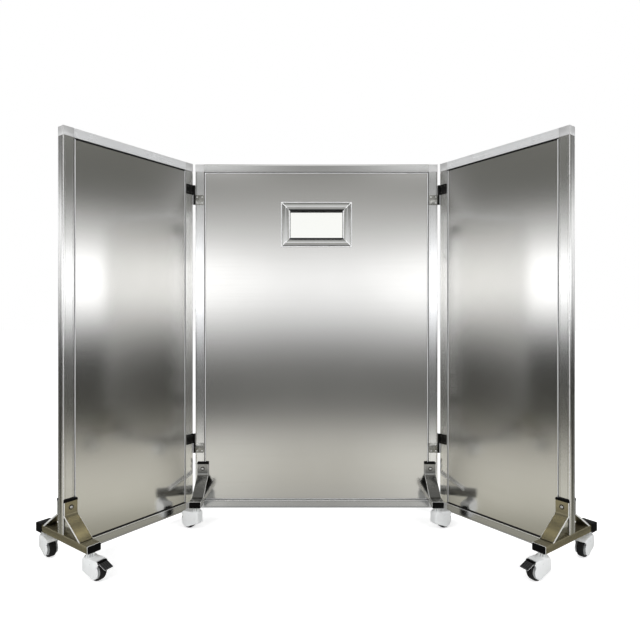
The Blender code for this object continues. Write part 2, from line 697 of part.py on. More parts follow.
def make_housing(name, frame, with_brake):
    """Make a caster housing with its swivel ring, stem, axle and, on a brake, pedal pin."""
    housing = side_shape(name, housing_outline(), HOUSING_WIDTH, PROFILE_ALONG_X,
                         (0.0, 0.0, 0.0), frame)
    soften(housing, HOUSING_EDGE_BEVEL)
    well = cross_rod(name + "_well", WHEEL_RADIUS + WELL_CLEARANCE, CASTER_TRAIL, AXLE_HEIGHT,
                     HOUSING_GAP, frame, ROUND_SIDES)
    cut(housing, well)
    axle_width = HOUSING_WIDTH - 2 * AXLE_END_INSET
    join(housing,
         cross_rod(name + "_axle", AXLE_RADIUS, CASTER_TRAIL, AXLE_HEIGHT, axle_width, frame),
         upright(name + "_collar", COLLAR_RADIUS, HOUSING_TOP - HOUSING_EDGE_BEVEL,
                 HOUSING_TOP + COLLAR_RISE, frame, PIN_SIDES),
         upright(name + "_ring", RING_RADIUS, HOUSING_TOP - HOUSING_EDGE_BEVEL,
                 BEAM_UNDERSIDE - GAP, frame, PIN_SIDES),
         upright(name + "_stem", STEM_RADIUS, HOUSING_TOP, BEAM_UNDERSIDE + BEAM_WALL + STEM_RISE,
                 frame, PIN_SIDES))
    if with_brake:
        bay = block(name + "_pedal_bay", (PEDAL_BAY_START, PEDAL_BAY_START + PEDAL_BAY_LENGTH),
                    (-HOUSING_GAP / 2, HOUSING_GAP / 2),
                    (PEDAL_BAY_FLOOR, HOUSING_TOP + OVERRUN), frame)
        cut(housing, bay)
        join(housing, cross_rod(name + "_pedal_pin", PEDAL_PIN_RADIUS, PEDAL_PIVOT_REACH,
                                PEDAL_PIVOT_HEIGHT, axle_width, frame))
    dress(housing, WHITE_PLASTIC)


def wheel_profile():
    """Half outline of a wheel, from its bore out over the hub, disc, rim and tyre and back."""
    bore = AXLE_RADIUS + AXLE_CLEARANCE
    hub_half = HOUSING_GAP / 2 - GAP
    side = [
        (bore, hub_half),
        (HUB_RADIUS, hub_half),
        (RIM_RADIUS, DISC_WIDTH / 2),
        (WHEEL_RADIUS - TYRE_SHOULDER, TYRE_WIDTH / 2),
        (WHEEL_RADIUS, TREAD_WIDTH / 2),
    ]
    return side + [(radius, -height) for radius, height in reversed(side)]


def make_wheel(name, frame):
    """Make a wheel that stands on a flat of its tread."""
    wheel = turned(name, wheel_profile(), (CASTER_TRAIL, 0.0, AXLE_HEIGHT), frame, WHEEL_SIDES)
    wheel.rotation_euler = (math.pi / 2, math.pi / WHEEL_SIDES, 0.0)
    wheel.rotation_mode = "XYZ"
    dress(wheel, TYRE_BLACK)


def make_pedal(name, frame):
    """Make a brake pedal: a sloping plate on a hub that turns on the housing's pin."""
    pivot = Vector((PEDAL_PIVOT_REACH, PEDAL_PIVOT_HEIGHT))
    along = Vector((math.cos(PEDAL_SLOPE), -math.sin(PEDAL_SLOPE)))
    down = Vector((-math.sin(PEDAL_SLOPE), -math.cos(PEDAL_SLOPE)))
    root = Vector((PEDAL_ROOT_REACH, PEDAL_ROOT_HEIGHT))
    tip = root + along * PEDAL_LENGTH
    corners = [root, tip, tip + down * PEDAL_PLATE, root + down * (PEDAL_PLATE + PEDAL_HUB_RADIUS)]
    points = [tuple(corner - pivot) for corner in corners]
    pedal_at = (pivot.x, 0.0, pivot.y)
    pedal = side_shape(name, points, PEDAL_WIDTH, PROFILE_ALONG_X, pedal_at, frame)
    hub = cross_rod(name + "_hub", PEDAL_HUB_RADIUS, pivot.x, pivot.y, PEDAL_WIDTH, frame)
    bore = cross_rod(name + "_bore", PEDAL_PIN_RADIUS + PEDAL_PIN_CLEARANCE, pivot.x, pivot.y,
                     HOUSING_WIDTH, frame)
    join(pedal, hub)
    cut(pedal, bore)
    dress(pedal, BLACK_PLASTIC)


def mirrored(heading, side):
    """Heading of a caster on the left or right, from the right-hand one."""
    return heading if side > 0 else math.pi - heading


def make_foot_set(place, side, panel, x_foot, front_heading, rear_heading, with_brake):
    """Make a foot, its end pieces and its two casters."""
    foot_frame = make_foot("foot_" + place, panel, x_foot)
    make_plug("end_plug_" + place, foot_frame)
    make_sleeve("end_sleeve_" + place, foot_frame)
    stems = (("front", STEM_INSET - BEAM_REACH, front_heading, with_brake),
             ("rear", PANEL_THICKNESS + BEAM_REACH - STEM_INSET, rear_heading, False))
    for end, y, heading, brake in stems:
        caster = place + "_" + end
        caster_frame = frame_at("caster_frame_" + caster, (0.0, y, 0.0), foot_frame,
                                mirrored(heading, side))
        make_housing("caster_housing_" + caster, caster_frame, brake)
        make_wheel("wheel_" + caster, caster_frame)
        if brake:
            make_pedal("brake_pedal_" + place, caster_frame)


def centre_on_origin():
    """Move the barrier so that the middle of its footprint stands on the origin."""
    bpy.context.view_layer.update()
    depsgraph = bpy.context.evaluated_depsgraph_get()
    corners = []
    for obj in PARTS.objects:
        if obj.type == "MESH":
            seen = obj.evaluated_get(depsgraph)
            mesh = seen.to_mesh()
            corners += [obj.matrix_world @ vertex.co for vertex in mesh.vertices]
            seen.to_mesh_clear()
    for axis in (0, 1):
        values = [corner[axis] for corner in corners]
        BARRIER.location[axis] -= (min(values) + max(values)) / 2
    bpy.context.view_layer.update()


clear_scene()
PARTS = new_collection("mobile_lead_barrier")
CUTTERS = new_collection("cutting_shapes")
BARRIER = frame_at("barrier_frame", (0.0, 0.0, 0.0))

centre = Panel("centre", BARRIER, -CENTRE_WIDTH / 2, CENTRE_WIDTH / 2, 0.0)
make_centre_panel(centre)
make_window(centre)

for side_name, side in (("left", -1), ("right", 1)):
    wing_frame = frame_at(side_name + "_wing_frame",
                          (side * (CENTRE_WIDTH / 2 + HINGE_SETBACK), -HINGE_PROUD, 0.0),
                          BARRIER, -side * WING_FOLD)
    edges = sorted((side * HINGE_SETBACK, side * (HINGE_SETBACK + WING_WIDTH)))
    wing = Panel(side_name, wing_frame, edges[0], edges[1], HINGE_PROUD)
    make_wing_panel(wing, side)
    make_hinge("hinge_%s_upper" % side_name, side, UPPER_HINGE_HEIGHT, wing_frame)
    make_hinge("hinge_%s_lower" % side_name, side, LOWER_HINGE_HEIGHT, wing_frame)
    make_foot_set(side_name + "_inner", side, centre,
                  side * (CENTRE_WIDTH / 2 - CORNER_FOOT_INSET), CORNER_HEADING, CORNER_HEADING,
                  False)
    make_foot_set(side_name + "_outer", side, wing,
                  side * (HINGE_SETBACK + WING_WIDTH - BEAM_WIDTH / 2), OUTER_FRONT_HEADING,
                  OUTER_REAR_HEADING, True)

centre_on_origin()
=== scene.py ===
"""Looks of a mobile lead barrier: a folding steel radiation screen on T-feet with casters.

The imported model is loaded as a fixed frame. Each sub-assembly is a class that holds its sizes,
builds its meshes from bmesh operators and dresses them in procedural finishes. Lengths are in
metres, +Z is up and the side that the wings fold towards faces -Y.
"""

from __future__ import annotations

import logging
import math
from collections.abc import Callable
from dataclasses import dataclass, field
from enum import Enum

import bmesh
import bpy
from mathutils import Matrix, Vector

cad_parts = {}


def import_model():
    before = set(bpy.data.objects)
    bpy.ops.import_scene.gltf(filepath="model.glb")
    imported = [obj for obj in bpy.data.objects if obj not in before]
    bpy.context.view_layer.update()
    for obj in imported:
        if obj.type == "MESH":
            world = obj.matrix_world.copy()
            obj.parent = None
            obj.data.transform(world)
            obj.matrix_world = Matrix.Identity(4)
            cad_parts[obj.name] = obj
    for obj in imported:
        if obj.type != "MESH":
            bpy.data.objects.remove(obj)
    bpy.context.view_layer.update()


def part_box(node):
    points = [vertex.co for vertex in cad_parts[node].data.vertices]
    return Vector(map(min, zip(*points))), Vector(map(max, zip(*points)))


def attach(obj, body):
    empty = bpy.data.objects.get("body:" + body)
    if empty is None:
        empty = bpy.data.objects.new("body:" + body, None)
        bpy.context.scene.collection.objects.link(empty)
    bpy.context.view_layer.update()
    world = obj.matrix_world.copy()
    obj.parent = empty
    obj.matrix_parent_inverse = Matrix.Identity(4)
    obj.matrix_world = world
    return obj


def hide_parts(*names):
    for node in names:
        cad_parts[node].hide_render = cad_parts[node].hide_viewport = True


LOG = logging.getLogger("lead_barrier")

Span = tuple[float, float]
Point = tuple[float, float]
Outline = list[Point]
Triple = tuple[float, float, float]
Bands = tuple[tuple[float, ...], ...]
Shape = bmesh.types.BMesh
Socket = bpy.types.NodeSocket

X_AXIS = Vector((1.0, 0.0, 0.0))
Y_AXIS = Vector((0.0, 1.0, 0.0))
Z_AXIS = Vector((0.0, 0.0, 1.0))
SHARP_ANGLE = math.radians(32.0)
PATCH_WEAR = 0.6
FINE_ROUNDING = 0.0005
SOFT_ROUNDING = 0.0008


class Side(Enum):
    """Left or right of the barrier, seen from the front."""

    LEFT = -1
    RIGHT = 1

    @property
    def word(self) -> str:
        """Name of the side, as the model spells it."""
        return self.name.lower()


class Place(Enum):
    """Which foot of a side is meant."""

    INNER = "inner"
    OUTER = "outer"


class End(Enum):
    """Which end of a foot is meant."""

    FRONT = "front"
    REAR = "rear"


class Grain(Enum):
    """Direction in which a metal is brushed."""

    LEVEL = "level"
    UPRIGHT = "upright"
    NONE = "none"


# Shapes


def bevel_edges(shape: Shape, edges: list, offset: float, segments: int = 2) -> None:
    """Round some edges of a shape.

    Args:
        shape: Shape to change.
        edges: Edges to round.
        offset: Width of the rounding.
        segments: Number of flats in the rounding.
    """
    bmesh.ops.bevel(shape, geom=list(edges), offset=offset, offset_type="OFFSET",
                    segments=segments, profile=0.5, affect="EDGES", clamp_overlap=True,
                    material=-1)


def edges_along(shape: Shape, axis: Vector, least: float) -> list:
    """Give the edges that reach further than a length along an axis."""
    return [edge for edge in shape.edges
            if abs((edge.verts[0].co - edge.verts[1].co).dot(axis)) > least]


def edges_where(shape: Shape, test: Callable[[Vector], bool]) -> list:
    """Give the edges whose two corners both pass a test."""
    return [edge for edge in shape.edges if all(test(vertex.co) for vertex in edge.verts)]


def open_shell(shape: Shape, faces: list, wall: float) -> None:
    """Cut faces out of a shape and turn what is left into a shell.

    Args:
        shape: Shape to change.
        faces: Faces to cut out.
        wall: Thickness of the shell.
    """
    bmesh.ops.delete(shape, geom=faces, context="FACES_ONLY")
    bmesh.ops.recalc_face_normals(shape, faces=shape.faces)
    bmesh.ops.solidify(shape, geom=list(shape.faces), thickness=wall)


def set_shape(shape: Shape, turn: Matrix, middle: Vector) -> Shape:
    """Turn a shape about the origin and move it to a place.

    Args:
        shape: Shape to move.
        turn: Rotation about the origin.
        middle: Where the origin goes.

    Returns:
        The same shape.
    """
    bmesh.ops.rotate(shape, cent=(0.0, 0.0, 0.0), matrix=turn, verts=shape.verts)
    bmesh.ops.translate(shape, vec=middle, verts=shape.verts)
    return shape


def box_shape(x: Span, y: Span, z: Span, bevel: float = 0.0,
              segments: int = 2) -> Shape:
    """Make a box between two values on each axis.

    Args:
        x: Two x values.
        y: Two y values.
        z: Two z values.
        bevel: Rounding of every edge.
        segments: Number of flats in the rounding.

    Returns:
        The box.
    """
    low = Vector((min(x), min(y), min(z)))
    high = Vector((max(x), max(y), max(z)))
    shape = bmesh.new()
    bmesh.ops.create_cube(shape, size=1.0)
    bmesh.ops.scale(shape, vec=high - low, verts=shape.verts)
    bmesh.ops.translate(shape, vec=(low + high) / 2, verts=shape.verts)
    if bevel:
        bevel_edges(shape, shape.edges, bevel, segments)
    return shape


def rod_shape(radius: float, start: tuple, end: tuple, sides: int = 24,
              bevel: float = 0.0) -> Shape:
    """Make a closed round bar from one point to another.

    Args:
        radius: Radius of the bar.
        start: Middle of the first end.
        end: Middle of the second end.
        sides: Number of sides.
        bevel: Rounding of both rims.

    Returns:
        The bar.
    """
    first, last = Vector(start), Vector(end)
    shape = bmesh.new()
    bmesh.ops.create_cone(shape, cap_ends=True, cap_tris=False, segments=sides, radius1=radius,
                          radius2=radius, depth=(last - first).length)
    if bevel:
        rims = [edge for edge in shape.edges if abs(edge.verts[0].co.z - edge.verts[1].co.z) < 1e-6]
        bevel_edges(shape, rims, bevel)
    turn = (last - first).to_track_quat("Z", "Y").to_matrix()
    return set_shape(shape, turn, (first + last) / 2)


def run_shape(section: Outline, origin: Vector, across: Vector, out: Vector, run: Vector,
              mitres: Span = (0.0, 0.0)) -> Shape:
    """Pull a flat section along a straight run, with plain or mitred ends.

    Args:
        section: Closed outline, as distances across and out.
        origin: Where the section's zero point starts.
        across: Direction of the first distance.
        out: Direction of the second distance.
        run: Length and direction of the pull.
        mitres: How far each end draws in for each unit across.

    Returns:
        The closed bar.
    """
    shape = bmesh.new()
    along = run.normalized()
    corners = [shape.verts.new(origin + across * u + out * v + along * (u * mitres[0]))
               for u, v in section]
    face = shape.faces.new(corners)
    grown = bmesh.ops.extrude_face_region(shape, geom=[face])
    for vertex in grown["geom"]:
        if isinstance(vertex, bmesh.types.BMVert):
            u = (vertex.co - origin).dot(across)
            vertex.co += run - along * (u * (mitres[0] + mitres[1]))
    return shape


def turned_shape(profile: Outline, sides: int) -> Shape:
    """Spin a profile of (radius, height) points about the vertical.

    Args:
        profile: Points of the profile, closed where it starts away from the axis.
        sides: Number of sides.

    Returns:
        The turned shape, with its axis on Z.
    """
    shape = bmesh.new()
    points = [shape.verts.new((radius, 0.0, height)) for radius, height in profile]
    pairs = list(zip(points, points[1:]))
    if profile[0][0] > 0.0:
        pairs.append((points[-1], points[0]))
    edges = [shape.edges.new(pair) for pair in pairs]
    bmesh.ops.spin(shape, geom=points + edges, cent=(0.0, 0.0, 0.0), axis=(0.0, 0.0, 1.0),
                   dvec=(0.0, 0.0, 0.0), angle=math.tau, steps=sides, use_merge=True)
    bmesh.ops.remove_doubles(shape, verts=shape.verts, dist=1e-6)
    return shape


def screw_head(radius: float, rise: float, recess: float, middle: Vector,
               facing: Vector) -> Shape:
    """Make a domed screw head with a round recess.

    Args:
        radius: Radius of the head.
        rise: Height of the head.
        recess: Radius of the recess.
        middle: Middle of the seat.
        facing: Direction in which the head looks.

    Returns:
        The head.
    """
    profile = [
        (0.0, -rise), (radius, -rise), (radius, rise * 0.25), (radius * 0.86, rise * 0.7),
        (radius * 0.6, rise), (recess, rise * 1.05), (recess * 0.9, rise * 0.2), (0.0, rise * 0.1),
    ]
    turn = facing.to_track_quat("Z", "Y").to_matrix()
    return set_shape(turned_shape(profile, 20), turn, middle)


def wheel_shape(half: Outline, sides: int, x: float, z: float) -> Shape:
    """Spin a half profile and its mirror image about an axis along Y.

    Args:
        half: Points as (radius, distance from the wheel's middle plane).
        sides: Number of sides.
        x: Where the axis goes.
        z: Height at which the axis goes.

    Returns:
        The turned shape.
    """
    whole = half + [(radius, -depth) for radius, depth in reversed(half)]
    return set_shape(turned_shape(whole, sides), Matrix.Rotation(math.radians(90.0), 3, "X"),
                     Vector((x, 0.0, z)))


class Piece:
    """One visible piece: shapes gathered in one mesh, each with its own finish."""

    def __init__(self, rack: FinishRack, name: str, place: Matrix, heading: float = 0.0) -> None:
        """Start an empty piece.

        Args:
            rack: Maker of the finishes.
            name: Name of the piece.
            place: Where the shapes' own frame lies in the world.
            heading: Turn about the vertical of its brushing.
        """
        self.rack, self.name, self.place, self.heading = rack, name, place, heading
        self.mesh = bmesh.new()
        self.materials: list[bpy.types.Material] = []

    def add(self, shape: Shape, finish: Finish, heading: float | None = None) -> None:
        """Put a shape into the piece.

        Args:
            shape: Shape in the piece's own frame; it is used up.
            finish: Finish of all its faces.
            heading: Turn of its brushing, where it isn't the piece's.
        """
        material = self.rack.get(finish, self.heading if heading is None else heading)
        if material not in self.materials:
            self.materials.append(material)
        bmesh.ops.transform(shape, matrix=self.place, verts=shape.verts)
        bmesh.ops.recalc_face_normals(shape, faces=shape.faces)
        for face in shape.faces:
            face.material_index = self.materials.index(material)
            face.smooth = True
        carrier = bpy.data.meshes.new("carrier")
        shape.to_mesh(carrier)
        shape.free()
        self.mesh.from_mesh(carrier)
        bpy.data.meshes.remove(carrier)

    def finish(self, body: str, slot: str, *nodes: str) -> bpy.types.Object:
        """Make the object, let it ride on its body and hide the nodes it stands for.

        Args:
            body: Body that carries the piece.
            slot: Material slot of the record; not used.
            *nodes: Nodes that the piece stands for.

        Returns:
            The finished object.
        """
        data = bpy.data.meshes.new(self.name)
        self.mesh.to_mesh(data)
        self.mesh.free()
        for material in self.materials:
            data.materials.append(material)
        data.set_sharp_from_angle(angle=SHARP_ANGLE)
        made = bpy.data.objects.new(self.name, data)
        bpy.context.scene.collection.objects.link(made)
        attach(made, body)
        if nodes:
            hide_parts(*nodes)
        LOG.info("%s rides on %s with %d faces", self.name, body, len(data.polygons))
        return made


# Materials


class NodeBoard:
    """Adds nodes to one tree and joins them."""

    def __init__(self, tree: bpy.types.NodeTree) -> None:
        """Keep the tree."""
        self.tree = tree

    def add(self, kind: str, settings: dict | None = None, **inputs: object) -> bpy.types.Node:
        """Add a node.

        Args:
            kind: Type name of the node.
            settings: Properties of the node.
            **inputs: Values or sockets for its inputs, with _ for a space in the name.

        Returns:
            The node.
        """
        node = self.tree.nodes.new(kind)
        for name, value in (settings or {}).items():
            setattr(node, name, value)
        self.feed_all(node, {name.replace("_", " "): value for name, value in inputs.items()})
        return node

    def feed(self, socket: Socket, value: object) -> None:
        """Set a socket to a value, or link it to another socket.

        Args:
            socket: Input to feed.
            value: Value or socket.
        """
        if isinstance(value, Socket):
            self.tree.links.new(value, socket)
        else:
            socket.default_value = value

    def feed_all(self, node: bpy.types.Node, values: dict[str, object]) -> None:
        """Feed several inputs of a node by their names."""
        for name, value in values.items():
            self.feed(node.inputs[name], value)

    def chain(self, kind: str, settings: dict, *values: object) -> Socket:
        """Add a node, feed its inputs in order and give its first output.

        Args:
            kind: Type name of the node.
            settings: Properties of the node.
            *values: Values or sockets for its inputs.

        Returns:
            Its first output.
        """
        node = self.add(kind, settings)
        for socket, value in zip(node.inputs, values):
            self.feed(socket, value)
        return node.outputs[0]

    def maths(self, operation: str, *values: object) -> Socket:
        """Add a Math node and give its result."""
        return self.chain("ShaderNodeMath", {"operation": operation}, *values)

    def blend(self, share: object, first: object, second: object) -> Socket:
        """Mix two colours.

        Args:
            share: Share of the second colour, from 0 to 1.
            first: First colour.
            second: Second colour.

        Returns:
            The mixed colour.
        """
        node = self.add("ShaderNodeMix", {"data_type": "RGBA"}, Factor=share)
        for socket, value in zip(node.inputs[6:8], (first, second)):
            self.feed(socket, value)
        return node.outputs[2]


def new_material(name: str) -> tuple[bpy.types.Material, NodeBoard, bpy.types.Node]:
    """Make a material.

    Args:
        name: Name of the material.

    Returns:
        The material, its board and its shader node.
    """
    material = bpy.data.materials.new(name)
    material.use_nodes = True
    tree = material.node_tree
    return material, NodeBoard(tree), tree.nodes["Principled BSDF"]


def make_group(name: str, inputs: dict[str, str], outputs: dict[str, str]) -> tuple:
    """Make an empty shader group with named sockets.

    Args:
        name: Name of the group.
        inputs: Socket names and short kinds of the inputs.
        outputs: Socket names and short kinds of the outputs.

    Returns:
        The group, its board, its input node and its output node.
    """
    group = bpy.data.node_groups.new(name, "ShaderNodeTree")
    for direction, sockets in (("INPUT", inputs), ("OUTPUT", outputs)):
        for socket, kind in sockets.items():
            group.interface.new_socket(name=socket, in_out=direction,
                                       socket_type="NodeSocket" + kind)
    board = NodeBoard(group)
    return group, board, board.add("NodeGroupInput"), board.add("NodeGroupOutput")


def grain_group() -> bpy.types.NodeTree:
    """Make the group that draws brush strokes along X.

    Returns:
        The group, with the strokes' height and a mask of the deeper ones.
    """
    group, board, given, result = make_group(
        "brush_strokes", {"Vector": "Vector", "Along": "Float", "Across": "Float"},
        {"Height": "Float", "Deep": "Float"})
    parts = board.add("ShaderNodeSeparateXYZ", Vector=given.outputs["Vector"]).outputs
    across = given.outputs["Across"]
    stretched = board.add("ShaderNodeCombineXYZ",
                          X=board.maths("MULTIPLY", parts["X"], given.outputs["Along"]),
                          Y=board.maths("MULTIPLY", parts["Y"], across),
                          Z=board.maths("MULTIPLY", parts["Z"], across)).outputs[0]
    fine = board.add("ShaderNodeTexNoise", Vector=stretched, Scale=1.0, Detail=3.0,
                     Roughness=0.62).outputs[0]
    coarse = board.add("ShaderNodeTexNoise", Vector=stretched, Scale=0.23, Detail=2.0,
                       Roughness=0.5).outputs[0]
    both = board.maths("ADD", board.maths("MULTIPLY", fine, 0.65),
                       board.maths("MULTIPLY", coarse, 0.35))
    deep = board.add("ShaderNodeMapRange", Value=coarse, From_Min=0.55, From_Max=0.75).outputs[0]
    board.feed(result.inputs["Height"], both)
    board.feed(result.inputs["Deep"], deep)
    return group


def cloud_group() -> bpy.types.NodeTree:
    """Make the group that draws soft uneven patches, as of handling and uneven sheet.

    Returns:
        The group, with a soft mask and a slow wave.
    """
    group, board, given, result = make_group(
        "uneven_patches", {"Vector": "Vector", "Scale": "Float"},
        {"Mask": "Float", "Wave": "Float"})
    patches = board.add("ShaderNodeTexNoise", Vector=given.outputs["Vector"],
                        Scale=given.outputs["Scale"], Detail=4.0, Roughness=0.55).outputs[0]
    wave = board.add("ShaderNodeTexNoise", Vector=given.outputs["Vector"],
                     Scale=board.maths("MULTIPLY", given.outputs["Scale"], 0.4), Detail=0.0)
    mask = board.add("ShaderNodeMapRange", Value=patches, From_Min=0.35, From_Max=0.70)
    board.feed(result.inputs["Mask"], mask.outputs[0])
    board.feed(result.inputs["Wave"], wave.outputs[0])
    return group


@dataclass(frozen=True)
class Texture:
    """How a surface is brushed, and how uneven and worn it is."""

    grain: Grain
    along: float
    across: float
    stroke_height: float
    stroke_roughness: float
    patch_scale: float
    patch_roughness: float
    wave_height: float = 0.0


@dataclass(frozen=True)
class Finish:
    """One surface finish."""

    name: str
    colour: Triple
    shade: Triple
    roughness: float
    metallic: float
    texture: Texture
    coat: float = 0.0
    gloss: float = 0.5

    def build(self, groups: dict[str, bpy.types.NodeTree], heading: float) -> bpy.types.Material:
        """Make the material.

        Args:
            groups: Shared shader groups by name.
            heading: Turn about the vertical of the piece that wears it.

        Returns:
            The material.
        """
        material, board, shader = new_material(self.name)
        look = self.texture
        turn = (0.0, math.radians(90.0) if look.grain is Grain.UPRIGHT else 0.0, -heading)
        place = board.add("ShaderNodeMapping", {"vector_type": "POINT"},
                          Vector=board.add("ShaderNodeTexCoord").outputs["Object"],
                          Rotation=turn).outputs[0]
        strokes = board.add(
            "ShaderNodeGroup", {"node_tree": groups["strokes"]}, Vector=place, Across=look.across,
            Along=look.across if look.grain is Grain.NONE else look.along).outputs
        patches = board.add("ShaderNodeGroup", {"node_tree": groups["patches"]}, Vector=place,
                            Scale=look.patch_scale).outputs
        worn = board.maths("ADD", board.maths("MULTIPLY", patches["Mask"], PATCH_WEAR),
                           board.maths("MULTIPLY", strokes["Deep"], 1.0 - PATCH_WEAR))
        spread = board.maths("ADD",
                             board.maths("MULTIPLY", strokes["Height"], look.stroke_roughness),
                             board.maths("MULTIPLY", patches["Mask"], look.patch_roughness))
        height = board.maths("ADD", board.maths("MULTIPLY", strokes["Height"], look.stroke_height),
                             board.maths("MULTIPLY", patches["Wave"], look.wave_height))
        bump = board.add("ShaderNodeBump", Height=height, Distance=1.0, Strength=1.0)
        board.feed_all(shader, {
            "Base Color": board.blend(worn, (*self.colour, 1.0), (*self.shade, 1.0)),
            "Roughness": board.maths(
                "ADD", spread,
                self.roughness - look.stroke_roughness / 2 - look.patch_roughness / 2),
            "Metallic": self.metallic, "Coat Weight": self.coat,
            "Specular IOR Level": self.gloss, "Normal": bump.outputs[0]})
        return material


@dataclass(frozen=True)
class LeadGlass:
    """Clear leaded glass with a faint warm tint."""

    name: str = "lead_glass_pane"
    colour: Triple = (0.97, 0.975, 0.94)
    shade: Triple = (0.955, 0.965, 0.925)
    patch_scale: float = 5.0
    roughness: float = 0.015
    index: float = 1.6

    def build(self, groups: dict[str, bpy.types.NodeTree]) -> bpy.types.Material:
        """Make the material.

        Args:
            groups: Shared shader groups by name.

        Returns:
            The material.
        """
        material, board, shader = new_material(self.name)
        mask = board.add("ShaderNodeGroup", {"node_tree": groups["patches"]},
                         Vector=board.add("ShaderNodeTexCoord").outputs["Object"],
                         Scale=self.patch_scale).outputs["Mask"]
        board.feed_all(shader, {
            "Base Color": board.blend(mask, (*self.colour, 1.0), (*self.shade, 1.0)),
            "Roughness": board.maths("MULTIPLY", mask, self.roughness),
            "Metallic": 0.0, "Transmission Weight": 1.0, "IOR": self.index})
        return material


UPRIGHT_POLISH = Texture(Grain.UPRIGHT, 12.0, 1800.0, 0.0000004, 0.05, 5.0, 0.03)
LEVEL_POLISH = Texture(Grain.LEVEL, 12.0, 1800.0, 0.0000004, 0.05, 5.0, 0.03)
ROLLED_STEEL = Texture(Grain.LEVEL, 30.0, 1500.0, 0.0000008, 0.06, 14.0, 0.05, 0.0001)
PLATED = Texture(Grain.NONE, 900.0, 900.0, 0.000001, 0.06, 60.0, 0.08)

PANEL_STEEL = Finish("brushed_panel_steel", (0.735, 0.73, 0.715), (0.69, 0.685, 0.665), 0.135, 1.0,
    Texture(Grain.LEVEL, 5.0, 1500.0, 0.0000005, 0.05, 1.6, 0.02, 0.0004))
# Painted light and shade: one stile metal in copies, darker on a wing's end stile and brighter on
# its hinge stile
END_STILE_PAINTED_SHADE = Finish("end_stile_painted_shade", (0.78, 0.78, 0.77), (0.72, 0.72, 0.705), 0.16, 1.0,
    UPRIGHT_POLISH)
HINGE_STILE_PAINTED_LIGHT = Finish("hinge_stile_painted_light", (0.95, 0.95, 0.94), (0.90, 0.90, 0.89), 0.13, 1.0,
    UPRIGHT_POLISH)
CENTRE_STILE = Finish("satin_stile_metal", (0.90, 0.905, 0.91), (0.84, 0.845, 0.85), 0.12, 1.0,
    UPRIGHT_POLISH)
RAIL_METAL = Finish("satin_rail_metal", (0.90, 0.905, 0.91), (0.84, 0.845, 0.85), 0.12, 1.0,
    LEVEL_POLISH)
# Painted shade: a darker copy of the rail metal for the bottom rails and a wing's notch edging
PAINTED_SHADE_RAIL_METAL = Finish("painted_shade_rail_metal", (0.66, 0.665, 0.67), (0.59, 0.595, 0.60), 0.18, 1.0,
    LEVEL_POLISH)
# Painted highlight: a bright thin strip along each frame member's edge
PAINTED_HIGHLIGHT_EDGE = Finish("painted_highlight_arris", (0.96, 0.96, 0.96), (0.90, 0.90, 0.90), 0.28, 0.70,
    UPRIGHT_POLISH)
# Partly painted highlight: the bead is real, its near-white, half-metallic colour is a painted
# highlight
BEAD_PAINTED_HIGHLIGHT = Finish("bright_bead_metal", (0.95, 0.955, 0.96), (0.90, 0.905, 0.91), 0.30, 0.45,
    UPRIGHT_POLISH)
# Painted shade: near-black strips in the frame's shadow gaps, on a wing's top and bottom beads and
# in the window's reveal
PAINTED_SHADE_STRIP = Finish("painted_shade_strip", (0.012, 0.012, 0.012), (0.020, 0.020, 0.020), 0.70, 0.0,
    Texture(Grain.NONE, 900.0, 900.0, 0.000002, 0.06, 20.0, 0.06), 0.0, 0.2)
TOP_RAIL_METAL = Finish("bright_top_rail_metal", (0.78, 0.785, 0.79), (0.73, 0.735, 0.74), 0.28,
    0.25, LEVEL_POLISH)
CORNER_METAL = Finish("cast_corner_metal", (0.68, 0.68, 0.68), (0.61, 0.61, 0.61), 0.32, 0.45,
    Texture(Grain.NONE, 600.0, 900.0, 0.000002, 0.08, 20.0, 0.06))
TRIM_METAL = Finish("window_trim_metal", (0.78, 0.785, 0.78), (0.71, 0.715, 0.71), 0.10, 1.0,
    Texture(Grain.LEVEL, 20.0, 1600.0, 0.0000006, 0.06, 8.0, 0.04))
# Partly painted reflection: the feet are one steel; its warm olive copy on the outer feet and grey
# copy on the inner feet are toned to the reflections each shows
FOOT_STEEL = Finish("warm_foot_steel", (0.30, 0.268, 0.172), (0.24, 0.214, 0.136), 0.15, 0.75,
    ROLLED_STEEL)
INNER_FOOT_STEEL = Finish("grey_foot_steel", (0.36, 0.36, 0.35), (0.28, 0.28, 0.27), 0.13, 0.90,
    ROLLED_STEEL)
# Partly painted highlight: bare cut edges, lightened to near white as a painted highlight on the
# straps' sides and the beam's mouth
CUT_EDGE_HIGHLIGHT = Finish("cut_edge_painted_highlight", (0.90, 0.90, 0.88), (0.82, 0.82, 0.80), 0.35, 0.35,
    Texture(Grain.LEVEL, 60.0, 1500.0, 0.000001, 0.06, 40.0, 0.05))
WELD_STEEL = Finish("weld_bead_steel", (0.07, 0.065, 0.05), (0.035, 0.033, 0.027), 0.50, 1.0,
    Texture(Grain.NONE, 900.0, 900.0, 0.00004, 0.15, 60.0, 0.10))
# Painted shade and reflection: one hinge steel in a near-black copy for the knuckles, the wing
# leaves and their screws, and a copy whose bright and dark patches are partly painted reflection on
# the centre leaves
HINGE_PAINTED_SHADE = Finish("painted_shade_hinge_metal", (0.030, 0.030, 0.029), (0.012, 0.012, 0.012), 0.34, 1.0,
    Texture(Grain.UPRIGHT, 60.0, 1500.0, 0.000001, 0.10, 40.0, 0.12))
HINGE_PAINTED_REFLECTION = Finish("painted_reflection_hinge_metal", (0.52, 0.52, 0.49), (0.16, 0.16, 0.15), 0.26, 1.0,
    Texture(Grain.UPRIGHT, 60.0, 1500.0, 0.000001, 0.10, 45.0, 0.14))
